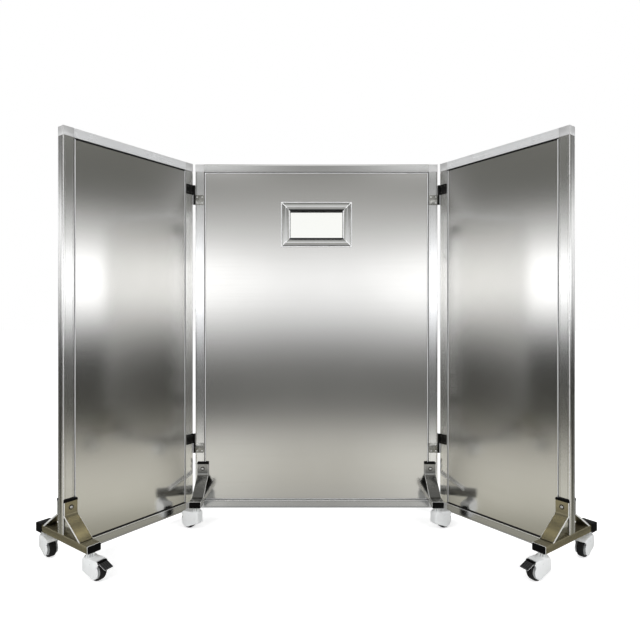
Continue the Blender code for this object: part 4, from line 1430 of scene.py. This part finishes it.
@dataclass
class Caster:
    """A twin-cheeked swivel caster in its foot's frame."""

    rack: FinishRack
    word: str
    place: Matrix
    with_brake: bool
    trail: float = 0.038
    wheel_radius: float = 0.0370
    axle_height: float = 0.037038
    housing_top: float = 0.081
    half_width: float = 0.023
    lead: float = 0.024
    lead_bottom: float = 0.030
    shoulder: float = 0.010
    roof_end: float = 0.040
    brow: Point = (0.060, 0.0785)
    brow_end: Point = (0.068, 0.069)
    bay_start: float = 0.054
    pedal_pin: Point = (0.064, 0.0735)
    cheek_radius: float = 0.028
    arc: Span = (math.radians(40.0), math.radians(-130.0))
    arc_steps: int = 22
    cheek_wall: float = 0.0033
    rounding: float = 0.0028
    lead_rounding: float = 0.0085
    rivet: Point = (0.024, 0.064)
    neck_radius: float = 0.0165
    neck_top: float = 0.1007
    teeth: int = 12
    tooth_half: float = 0.0024
    stem_radius: float = 0.0055
    stem_rise: float = 0.012
    rivet_radius: float = 0.0017
    rivet_depth: float = 0.0020
    axle_radius: float = 0.004
    pedal_pin_radius: float = 0.002

    def outline(self, inset: float, nose: float) -> Outline:
        """Side outline of the hood, from its leading foot round to the cheek's arc.

        Args:
            inset: How far the outline draws in all round.
            nose: How far the leading wall draws in.

        Returns:
            The points.
        """
        left = -self.lead + nose
        top, bend = self.housing_top - inset, self.shoulder
        (brow_x, brow_z), (end_x, end_z) = self.brow, self.brow_end
        points = [(left, self.lead_bottom + inset), (left, top - bend),
                  (left + bend * 0.20, top - bend * 0.42), (left + bend * 0.62, top - bend * 0.11),
                  (left + bend * 1.30, top), (self.roof_end, top),
                  (self.bay_start, top - (self.housing_top - brow_z) * 0.6),
                  (brow_x - inset * 0.5, brow_z - inset * 0.8),
                  (end_x - inset, end_z - inset * 0.4)]
        (start, end), reach = self.arc, self.cheek_radius - inset
        for step in range(self.arc_steps + 1):
            angle = start + (end - start) * step / self.arc_steps
            points.append((self.trail + reach * math.cos(angle),
                           self.axle_height + reach * math.sin(angle)))
        return points

    def is_open(self, face: bmesh.types.BMFace) -> bool:
        """Tell whether the rim is open at a face, for the wheel or the pedal.

        Args:
            face: Face of the housing's solid form.

        Returns:
            True where the rim is open.
        """
        if abs(face.normal.y) > 0.05:
            return False
        middle = face.calc_center_median()
        roof_limit = self.bay_start if self.with_brake else self.brow_end[0] + self.rounding
        leading = middle.x < -self.lead + self.lead_rounding and middle.z > self.lead_bottom + 0.001
        roof = middle.z > self.brow_end[1] - 0.001 and middle.x < roof_limit
        return not (leading or roof)

    def slices(self) -> list[tuple[float, float, float]]:
        """Give where the hood's outlines lie across it, and how far each draws in.

        Returns:
            For each slice its y, the inset all round and the inset of the leading wall.
        """
        half, small, large = self.half_width, self.rounding, self.lead_rounding
        places = [half - large + large * math.sin(math.radians(turn)) for turn in (0, 15, 28, 38)]
        places += [half - small + small * math.sin(math.radians(turn)) for turn in (0, 30, 60, 90)]
        made = []
        for place in places:
            edge = max(0.0, place - (half - small))
            curl = place - (half - large)
            made.append((place, small - math.sqrt(max(0.0, small ** 2 - edge ** 2)),
                         large - math.sqrt(max(0.0, large ** 2 - curl ** 2))))
        return [(-place, inset, nose) for place, inset, nose in reversed(made)] + made

    def shell(self) -> Shape:
        """Make the moulded hood: two cheeks, a rounded leading wall and a roof.

        Returns:
            The hood.
        """
        hood = bmesh.new()
        loops = []
        for place, inset, nose in self.slices():
            corners = [hood.verts.new((x, place, z)) for x, z in self.outline(inset, nose)]
            loops.append([hood.edges.new(pair)
                          for pair in zip(corners, corners[1:] + corners[:1])])
        for first, second in zip(loops, loops[1:]):
            bmesh.ops.bridge_loops(hood, edges=first + second)
        for rim in (loops[0], loops[-1]):
            bmesh.ops.contextual_create(hood, geom=rim)
        bmesh.ops.recalc_face_normals(hood, faces=hood.faces)
        bmesh.ops.delete(hood, geom=[face for face in hood.faces if self.is_open(face)],
                         context="FACES")
        bmesh.ops.solidify(hood, geom=list(hood.faces), thickness=self.cheek_wall)
        return hood

    def add_neck(self, piece: Piece) -> None:
        """Add the collar disc, the toothed neck and the stem on top of the hood.

        Args:
            piece: Piece that they belong to.
        """
        top = self.housing_top
        collar = [(0.0, top - 0.003), (0.0232, top - 0.003), (0.0235, top + 0.0006),
                  (0.0229, top + 0.0016), (0.0216, top + 0.0020), (0.0202, top + 0.0020),
                  (0.0197, top + 0.0008), (0.0187, top + 0.0008), (0.0182, top + 0.0020),
                  (0.0, top + 0.0020)]
        piece.add(turned_shape(collar, 48), WHITE_PLASTIC)
        wide, high = self.neck_radius, self.neck_top
        core = [(0.0, top + 0.001), (wide * 0.74, top + 0.001), (wide * 0.74, high - 0.0022),
                (wide * 0.97, high - 0.0020), (wide, high - 0.0014), (wide, high), (0.0, high)]
        piece.add(turned_shape(core, 40), GREY_PLASTIC)
        for tooth in range(self.teeth):
            bar = box_shape((wide * 0.70, wide), (-self.tooth_half, self.tooth_half),
                            (top + 0.0015, high - 0.0019), FINE_ROUNDING, 1)
            turn = Matrix.Rotation(math.tau * tooth / self.teeth, 3, "Z")
            piece.add(set_shape(bar, turn, Vector()), WHITE_PLASTIC)
        piece.add(rod_shape(self.stem_radius, (0.0, 0.0, top), (0.0, 0.0, high + self.stem_rise),
                            20), BRIGHT_ZINC)

    def build_housing(self) -> None:
        """Make the housing with its collar, neck, stem, rivets and pins."""
        name = "caster_housing_" + self.word
        piece = Piece(self.rack, name + "_moulded", self.place)
        piece.add(self.shell(), WHITE_PLASTIC)
        self.add_neck(piece)
        cross = self.half_width - 0.0008
        for sign in (-1.0, 1.0):
            cheek = sign * self.half_width
            x, z = self.rivet
            piece.add(rod_shape(self.rivet_radius, (x, cheek - sign * self.rivet_depth, z),
                                (x, cheek, z), 16, 0.0002), GREY_PLASTIC)
        pins = [(self.axle_radius, self.trail, self.axle_height)]
        if self.with_brake:
            pins.append((self.pedal_pin_radius, *self.pedal_pin))
        for radius, x, z in pins:
            piece.add(rod_shape(radius, (x, -cross, z), (x, cross, z), 20), BRIGHT_ZINC)
        piece.finish("caster_" + self.word, "white_plastic", name)

    def build_wheel(self) -> None:
        """Make the wheel: white hub in two shells and a black tyre with grooves."""
        name = "wheel_" + self.word
        piece = Piece(self.rack, name + "_rolling", self.place)
        radius = self.wheel_radius
        tyre = [(0.0285, 0.0112), (0.0300, 0.0126), (0.0335, 0.0130), (0.0352, 0.0125),
                (radius - 0.0010, 0.0107), (radius - 0.0002, 0.0090), (radius, 0.0074),
                (radius, 0.0058), (radius - 0.0012, 0.0053), (radius - 0.0012, 0.0044),
                (radius, 0.0039), (radius, 0.0012), (radius - 0.0010, 0.0008)]
        hub = [(0.0043, 0.0190), (0.0080, 0.0190), (0.0096, 0.0180), (0.0104, 0.0150),
               (0.0125, 0.0100), (0.0245, 0.0096), (0.0262, 0.0110), (0.0284, 0.0114)]
        for half, sides, finish in ((tyre, 56, TYRE_RUBBER), (hub, 48, WHITE_PLASTIC)):
            piece.add(wheel_shape(half, sides, self.trail, self.axle_height), finish)
        piece.finish(name, "caster_wheel", name)


@dataclass
class BrakePedal:
    """A ribbed pedal that turns on the housing's pin."""

    rack: FinishRack
    word: str
    place: Matrix
    pivot: Point = (0.064, 0.0735)
    root: Point = (0.0605, 0.0785)
    slope: float = math.radians(25.0)
    rib_drop: float = 0.0007
    bar_sink: float = 0.0014
    bar_rounding: float = 0.0003
    length: float = 0.047
    half_width: float = 0.018
    plate: float = 0.004
    sole: float = 0.0013
    rim: float = 0.0030
    rib_pitch: float = 0.0058
    barrel_radius: float = 0.0052

    def build(self) -> None:
        """Make the pedal."""
        node = "brake_pedal_" + self.word
        piece = Piece(self.rack, node + "_ribbed", self.place)
        rise, fall = math.cos(self.slope), math.sin(self.slope)
        along, down = Vector((rise, 0.0, -fall)), Vector((-fall, 0.0, -rise))
        full, long, split = 2 * self.half_width, self.length, self.plate - self.sole
        corner = Vector((self.root[0], -self.half_width, self.root[1]))
        upper = [(0.0, 0.0012), (long, 0.0012), (long, split), (0.0, split)]
        lower = [(0.0, split), (long, split), (long, self.plate), (0.006, self.plate),
                 (0.0, self.plate + 0.0040)]
        for points, finish in ((upper, BLACK_PLASTIC), (lower, WHITE_PLASTIC)):
            slab = run_shape(points, corner, along, down, Y_AXIS * full)
            bevel_edges(slab, slab.edges, 0.0004, 1)
            piece.add(slab, finish)
        rim = self.rim
        bars = [((0.0, rim), (0.0, full), 0.0), ((long - rim, long), (0.0, full), 0.0),
                ((0.0, long), (0.0, rim), 0.0), ((0.0, long), (full - rim, full), 0.0)]
        reach = rim + self.rib_pitch * 0.5
        while reach < long - rim - 0.003:
            bars.append(((reach, reach + self.rib_pitch * 0.6), (rim + 0.001, full - rim - 0.001),
                         -self.rib_drop))
            reach += self.rib_pitch
        turn = Matrix((along, Y_AXIS, -down)).transposed()
        for x, y, top in bars:
            bar = box_shape(x, y, (-self.bar_sink, top), self.bar_rounding, 1)
            piece.add(set_shape(bar, turn, corner), PEDAL_PLASTIC)
        x, z = self.pivot
        piece.add(rod_shape(self.barrel_radius, (x, -self.half_width, z), (x, self.half_width, z),
                            24, FINE_ROUNDING), BLACK_PLASTIC)
        piece.finish("pedal_" + self.word, "black_plastic", node)


# Studio

# Bands of the surroundings: height from -1 to 1, then a grey or a colour
LOW_BANDS: Bands = (
    (-1.00, 0.03, 0.03, 0.028), (-0.965, 0.04, 0.04, 0.038), (-0.925, 0.42, 0.42, 0.41),
)
MIDDLE_BANDS: Bands = LOW_BANDS + (
    (-0.38, 0.38, 0.38, 0.375), (-0.350, 0.44, 0.435, 0.42), (-0.325, 0.56, 0.545, 0.49),
    (-0.265, 0.68, 0.665, 0.61), (-0.235, 0.62, 0.61, 0.57), (-0.180, 0.15, 0.15, 0.145),
    (-0.105, 0.15, 0.15, 0.145), (-0.060, 0.34), (0.000, 0.92, 0.925, 0.935),
    (0.055, 1.36, 1.365, 1.375), (0.090, 1.27, 1.275, 1.285), (0.145, 0.80),
    (0.200, 0.50, 0.50, 0.49), (0.245, 0.37, 0.37, 0.355), (0.285, 0.25, 0.25, 0.24),
    (0.36, 0.52, 0.52, 0.50), (0.55, 0.95, 0.95, 0.93), (0.70, 0.55, 0.55, 0.53),
    (0.80, 0.22, 0.22, 0.21), (1.00, 0.22, 0.22, 0.21),
)
FRONT_BANDS: Bands = LOW_BANDS + (
    (-0.38, 0.45, 0.45, 0.44), (-0.350, 0.62, 0.62, 0.60), (-0.325, 0.78, 0.77, 0.72),
    (-0.265, 0.86, 0.85, 0.79), (-0.235, 0.78, 0.77, 0.73), (-0.185, 0.12, 0.12, 0.115),
    (-0.105, 0.15, 0.15, 0.145), (-0.060, 0.40), (0.000, 1.08, 1.085, 1.095),
    (0.035, 1.62, 1.625, 1.635), (0.095, 1.60, 1.605, 1.615), (0.140, 0.86),
    (0.200, 0.48, 0.48, 0.47), (0.245, 0.24, 0.24, 0.23), (0.266, 0.24, 0.24, 0.23),
    (0.280, 1.12, 1.12, 1.11), (0.34, 1.00, 1.00, 0.98), (0.50, 0.40, 0.40, 0.385),
    (0.84, 0.20, 0.195, 0.17), (0.94, 0.20, 0.195, 0.17), (1.00, 0.60, 0.60, 0.58),
)
WING_BANDS: Bands = LOW_BANDS + (
    (-0.55, 0.42, 0.42, 0.40), (-0.40, 0.30, 0.285, 0.21), (-0.350, 0.34, 0.33, 0.28),
    (-0.330, 0.70, 0.685, 0.60), (-0.275, 0.70, 0.68, 0.61), (-0.235, 0.52, 0.505, 0.45),
    (-0.180, 0.05, 0.05, 0.043), (-0.075, 0.03, 0.03, 0.027), (-0.045, 0.19),
    (0.000, 0.98, 0.985, 0.995), (0.035, 1.92, 1.925, 1.935), (0.085, 1.92, 1.925, 1.935),
    (0.140, 0.82), (0.170, 0.58, 0.58, 0.57), (0.205, 0.13, 0.13, 0.12),
    (0.310, 0.16, 0.16, 0.145), (0.335, 0.42, 0.42, 0.40), (0.80, 0.14, 0.14, 0.13),
    (0.94, 0.20, 0.20, 0.185), (1.00, 0.60, 0.60, 0.58),
)
END_BANDS: Bands = (
    (-1.00, 0.42, 0.42, 0.40), (-0.60, 0.42, 0.42, 0.40), (-0.42, 0.24, 0.23, 0.17),
    (-0.36, 0.20, 0.195, 0.16), (-0.31, 0.09, 0.088, 0.07), (-0.27, 0.045, 0.044, 0.036),
    (-0.10, 0.05, 0.05, 0.046), (-0.03, 0.14), (0.01, 0.46), (0.06, 0.75, 0.75, 0.76),
    (0.10, 0.90, 0.90, 0.91), (0.15, 1.25, 1.255, 1.265), (0.18, 1.15, 1.155, 1.165), (0.22, 0.55),
    (0.26, 0.28), (0.32, 0.22), (0.60, 0.30, 0.30, 0.29), (1.00, 0.60, 0.60, 0.58),
)


@dataclass(frozen=True)
class Lamp:
    """A square soft lamp that metal doesn't mirror."""

    name: str
    place: Triple
    aim: Triple
    size: float
    power: float

    def build(self) -> None:
        """Make the lamp."""
        light = bpy.data.lights.new(self.name, "AREA")
        light.size, light.energy = self.size, self.power
        lamp = bpy.data.objects.new(self.name, light)
        lamp.location = self.place
        way = Vector(self.aim) - Vector(self.place)
        lamp.rotation_euler = way.to_track_quat("-Z", "Y").to_euler()
        lamp.visible_glossy = lamp.visible_transmission = False
        bpy.context.scene.collection.objects.link(lamp)


@dataclass
class Studio:
    """Camera, lamps, surroundings and floor."""

    distance: float = 2.540
    eye_height: float = 0.993
    lens: float = 28.86
    shift: Point = (0.0055, -0.0074)
    floor_size: float = 60.0
    floor_drop: float = 0.0006
    glow_aim: Triple = (0.318, 0.336, 0.887)
    glow_colour: tuple[float, ...] = (3.6, 3.4, 2.6, 1.0)
    glow_reach: Span = (0.005, 0.050)
    band_steps: tuple[Span, ...] = ((0.04, 0.22), (0.23, 0.31), (0.55, 0.80))
    end_step: Span = (0.02, 0.10)
    soft_light: tuple[float, ...] = (0.94, 0.95, 0.96, 1.0)
    soft_strength: float = 0.62
    white: tuple[float, ...] = (1.0, 1.0, 1.0, 1.0)
    floor_colour: tuple[float, ...] = (0.80, 0.80, 0.80, 1.0)
    floor_light: float = 0.60
    lamps: tuple[Lamp, ...] = (
        Lamp("left_softbox", (-2.6, -3.2, 3.0), (0.0, 0.0, 0.7), 2.2, 85.0),
        Lamp("right_softbox", (2.8, -2.8, 2.6), (0.0, 0.0, 0.6), 2.2, 60.0),
        Lamp("rear_softbox", (0.6, 3.4, 3.2), (0.0, 0.2, 0.8), 2.6, 70.0))

    def band_ramp(self, board: NodeBoard, height: Socket, bands: Bands) -> Socket:
        """Add a ramp of level bands over the height of a direction.

        Args:
            board: Board of the world's tree.
            height: Height of the direction, from 0 straight down to 1 straight up.
            bands: Heights from -1 to 1 with their greys or colours.

        Returns:
            The colour.
        """
        ramp = board.add("ShaderNodeValToRGB", Fac=height)
        stops = ramp.color_ramp.elements
        while len(stops) < len(bands):
            stops.new(0.5)
        for stop, (place, *colour) in zip(stops, bands):
            stop.position = (place + 1.0) / 2
            stop.color = (*(colour if len(colour) == 3 else colour * 3), 1.0)
        return ramp.outputs[0]

    def share(self, board: NodeBoard, value: Socket, start: float, end: float) -> Socket:
        """Add a soft step from 0 at one value to 1 at another."""
        return board.add("ShaderNodeMapRange", {"interpolation_type": "SMOOTHSTEP"}, Value=value,
                         From_Min=start, From_Max=end).outputs[0]

    def glow(self, board: NodeBoard, parts: object, base: Socket) -> Socket:
        """Add a small ceiling light on each side, which the feet's straps mirror.

        Args:
            board: Board of the world's tree.
            parts: The direction's three values.
            base: Colour of the surroundings without the lights.

        Returns:
            The colour.
        """
        folded = board.add("ShaderNodeCombineXYZ", X=board.maths("ABSOLUTE", parts["X"]),
                           Y=board.maths("ABSOLUTE", parts["Y"]), Z=parts["Z"]).outputs[0]
        away = board.add("ShaderNodeVectorMath", {"operation": "DISTANCE"})
        board.feed(away.inputs[0], folded)
        away.inputs[1].default_value = self.glow_aim
        dark = self.share(board, away.outputs["Value"], *self.glow_reach)
        return board.blend(board.maths("SUBTRACT", 1.0, dark), base, self.glow_colour)

    def mirrored(self, board: NodeBoard) -> Socket:
        """Add the bands that metal mirrors: other ones to the front, sideways and far out.

        Args:
            board: Board of the world's tree.

        Returns:
            The colour.
        """
        parts = board.add("ShaderNodeSeparateXYZ",
                          Vector=board.add("ShaderNodeTexCoord").outputs["Generated"]).outputs
        height = board.maths("MULTIPLY_ADD", parts["Z"], 0.5, 0.5)
        sideways = board.maths("ABSOLUTE", parts["X"])
        mixed = self.band_ramp(board, height, MIDDLE_BANDS)
        shares = [self.share(board, sideways, *step) for step in self.band_steps]
        shares[2] = board.maths("MULTIPLY", shares[2],
                                self.share(board, parts["Y"], *self.end_step))
        for bands, share in zip((FRONT_BANDS, WING_BANDS, END_BANDS), shares):
            mixed = board.blend(share, mixed, self.band_ramp(board, height, bands))
        return self.glow(board, parts, mixed)

    def surround(self) -> None:
        """Make the world: white to look at, banded like a showroom in the metal."""
        world = bpy.data.worlds.new("showroom")
        bpy.context.scene.world = world
        world.use_nodes = True
        world.node_tree.nodes.clear()
        board = NodeBoard(world.node_tree)
        ray = board.add("ShaderNodeLightPath").outputs
        banded, soft, white = (
            board.add("ShaderNodeBackground", Color=colour, Strength=strength).outputs[0]
            for colour, strength in ((self.mirrored(board), 1.0),
                                     (self.soft_light, self.soft_strength), (self.white, 1.0)))
        lit = board.chain("ShaderNodeMixShader", {}, ray["Is Glossy Ray"], soft, banded)
        direct = board.maths("MAXIMUM", ray["Is Camera Ray"], ray["Is Transmission Ray"])
        board.add("ShaderNodeOutputWorld",
                  Surface=board.chain("ShaderNodeMixShader", {}, direct, lit, white))

    def floor(self) -> None:
        """Make the pale floor, which keeps the barrier's soft shadow."""
        shape = bmesh.new()
        bmesh.ops.create_grid(shape, x_segments=2, y_segments=2, size=self.floor_size / 2)
        bmesh.ops.translate(shape, vec=(0.0, 0.0, -self.floor_drop), verts=shape.verts)
        data = bpy.data.meshes.new("pale_floor")
        shape.to_mesh(data)
        shape.free()
        material, board, shader = new_material("pale_floor")
        ray = board.add("ShaderNodeLightPath").outputs
        direct = board.maths("MAXIMUM", ray["Is Camera Ray"], ray["Is Transmission Ray"])
        board.feed_all(shader, {
            "Base Color": self.floor_colour, "Roughness": 0.9, "Specular IOR Level": 0.0,
            "Emission Color": self.white,
            "Emission Strength": board.maths("MULTIPLY", direct, self.floor_light)})
        data.materials.append(material)
        floor = bpy.data.objects.new("pale_floor", data)
        bpy.context.scene.collection.objects.link(floor)
        floor.visible_glossy = False

    def camera(self) -> None:
        """Make the camera at the photograph's height, distance and framing."""
        data = bpy.data.cameras.new("camera")
        data.lens = self.lens
        data.shift_x, data.shift_y = self.shift
        camera = bpy.data.objects.new("camera", data)
        camera.location = (0.0, panel_front() - self.distance, self.eye_height)
        camera.rotation_euler = (math.radians(90.0), 0.0, 0.0)
        bpy.context.scene.collection.objects.link(camera)
        bpy.context.scene.camera = camera

    def build(self) -> None:
        """Make the whole studio."""
        self.surround()
        self.floor()
        for lamp in self.lamps:
            lamp.build()
        self.camera()
        bpy.context.scene.view_settings.view_transform = "Standard"


@dataclass
class Barrier:
    """The whole barrier."""

    rack: FinishRack = field(default_factory=FinishRack)
    fold: float = math.radians(54.0)
    half_centre: float = 0.600
    wing_width: float = 0.650
    setback: float = 0.004
    proud: float = 0.0045
    corner_inset: float = 0.0385
    beam_half: float = 0.0275
    stem_inset: float = 0.024
    reach: float = 0.172
    hinge_heights: tuple[tuple[str, float], ...] = (("upper", 1.587), ("lower", 0.361))
    headings: tuple[tuple[Place, End, float], ...] = (
        (Place.OUTER, End.FRONT, -98.0), (Place.OUTER, End.REAR, -84.0),
        (Place.INNER, End.FRONT, 25.0), (Place.INNER, End.REAR, 25.0))

    def centre_plan(self) -> PanelPlan:
        """Plan of the centre panel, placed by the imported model."""
        return PanelPlan("centre", "centre_section", Matrix.Translation((0.0, panel_front(), 0.0)),
                         0.0, -self.half_centre, self.half_centre, 0.0)

    def wing_plan(self, side: Side, centre: PanelPlan) -> PanelPlan:
        """Plan of a wing, folded about its hinge.

        Args:
            side: Side of the wing.
            centre: Plan of the centre panel.

        Returns:
            The plan.
        """
        heading = -side.value * self.fold
        axis = (side.value * (self.half_centre + self.setback), -self.proud, 0.0)
        place = centre.place @ Matrix.Translation(axis) @ Matrix.Rotation(heading, 4, "Z")
        edges = sorted((side.value * self.setback, side.value * (self.setback + self.wing_width)))
        return PanelPlan(side.word, side.word + "_wing", place, heading, *edges, self.proud, side)

    def foot_set(self, side: Side, place: Place, plan: PanelPlan, x_foot: float) -> None:
        """Make a foot with its casters.

        Args:
            side: Side of the foot.
            place: Inner or outer foot.
            plan: Panel that the foot carries.
            x_foot: Where the foot stands along the panel.
        """
        word = "%s_%s" % (side.word, place.value)
        # Outer and inner feet get differently toned copies of one steel, painted reflection
        finish = FOOT_STEEL if place is Place.OUTER else INNER_FOOT_STEEL
        foot = TeeFoot(self.rack, plan, word, x_foot, finish)
        foot.build()
        stems = {End.FRONT: self.stem_inset - self.reach,
                 End.REAR: plan.thickness + self.reach - self.stem_inset}
        for where, end, degrees in self.headings:
            if where is not place:
                continue
            heading = math.radians(degrees if side is Side.RIGHT else 180.0 - degrees)
            frame = (foot.place @ Matrix.Translation((0.0, stems[end], 0.0))
                     @ Matrix.Rotation(heading, 4, "Z"))
            braked = place is Place.OUTER and end is End.FRONT
            name = "%s_%s" % (word, end.value)
            caster = Caster(self.rack, name, frame, braked)
            caster.build_housing()
            caster.build_wheel()
            if braked:
                BrakePedal(self.rack, word, frame).build()

    def build(self) -> None:
        """Make every sub-assembly in order."""
        centre = self.centre_plan()
        PanelFrame(self.rack, centre).build_centre()
        ViewingWindow(self.rack, centre).build()
        for side in Side:
            wing = self.wing_plan(side, centre)
            PanelFrame(self.rack, wing).build_wing()
            for word, height in self.hinge_heights:
                LiftOffHinge(self.rack, side, word, height).build(
                    centre, wing, side.value * (self.half_centre + self.setback))
            self.foot_set(side, Place.INNER, centre,
                          side.value * (self.half_centre - self.corner_inset))
            self.foot_set(side, Place.OUTER, wing,
                          side.value * (self.setback + self.wing_width - self.beam_half))
            LOG.info("the %s side is dressed", side.word)


def main() -> None:
    """Load the frame, dress the barrier and set up the studio."""
    logging.basicConfig(level=logging.INFO, format="%(message)s")
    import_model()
    Barrier().build()
    Studio().build()
    bpy.context.view_layer.update()


if __name__ == "__main__":
    main()
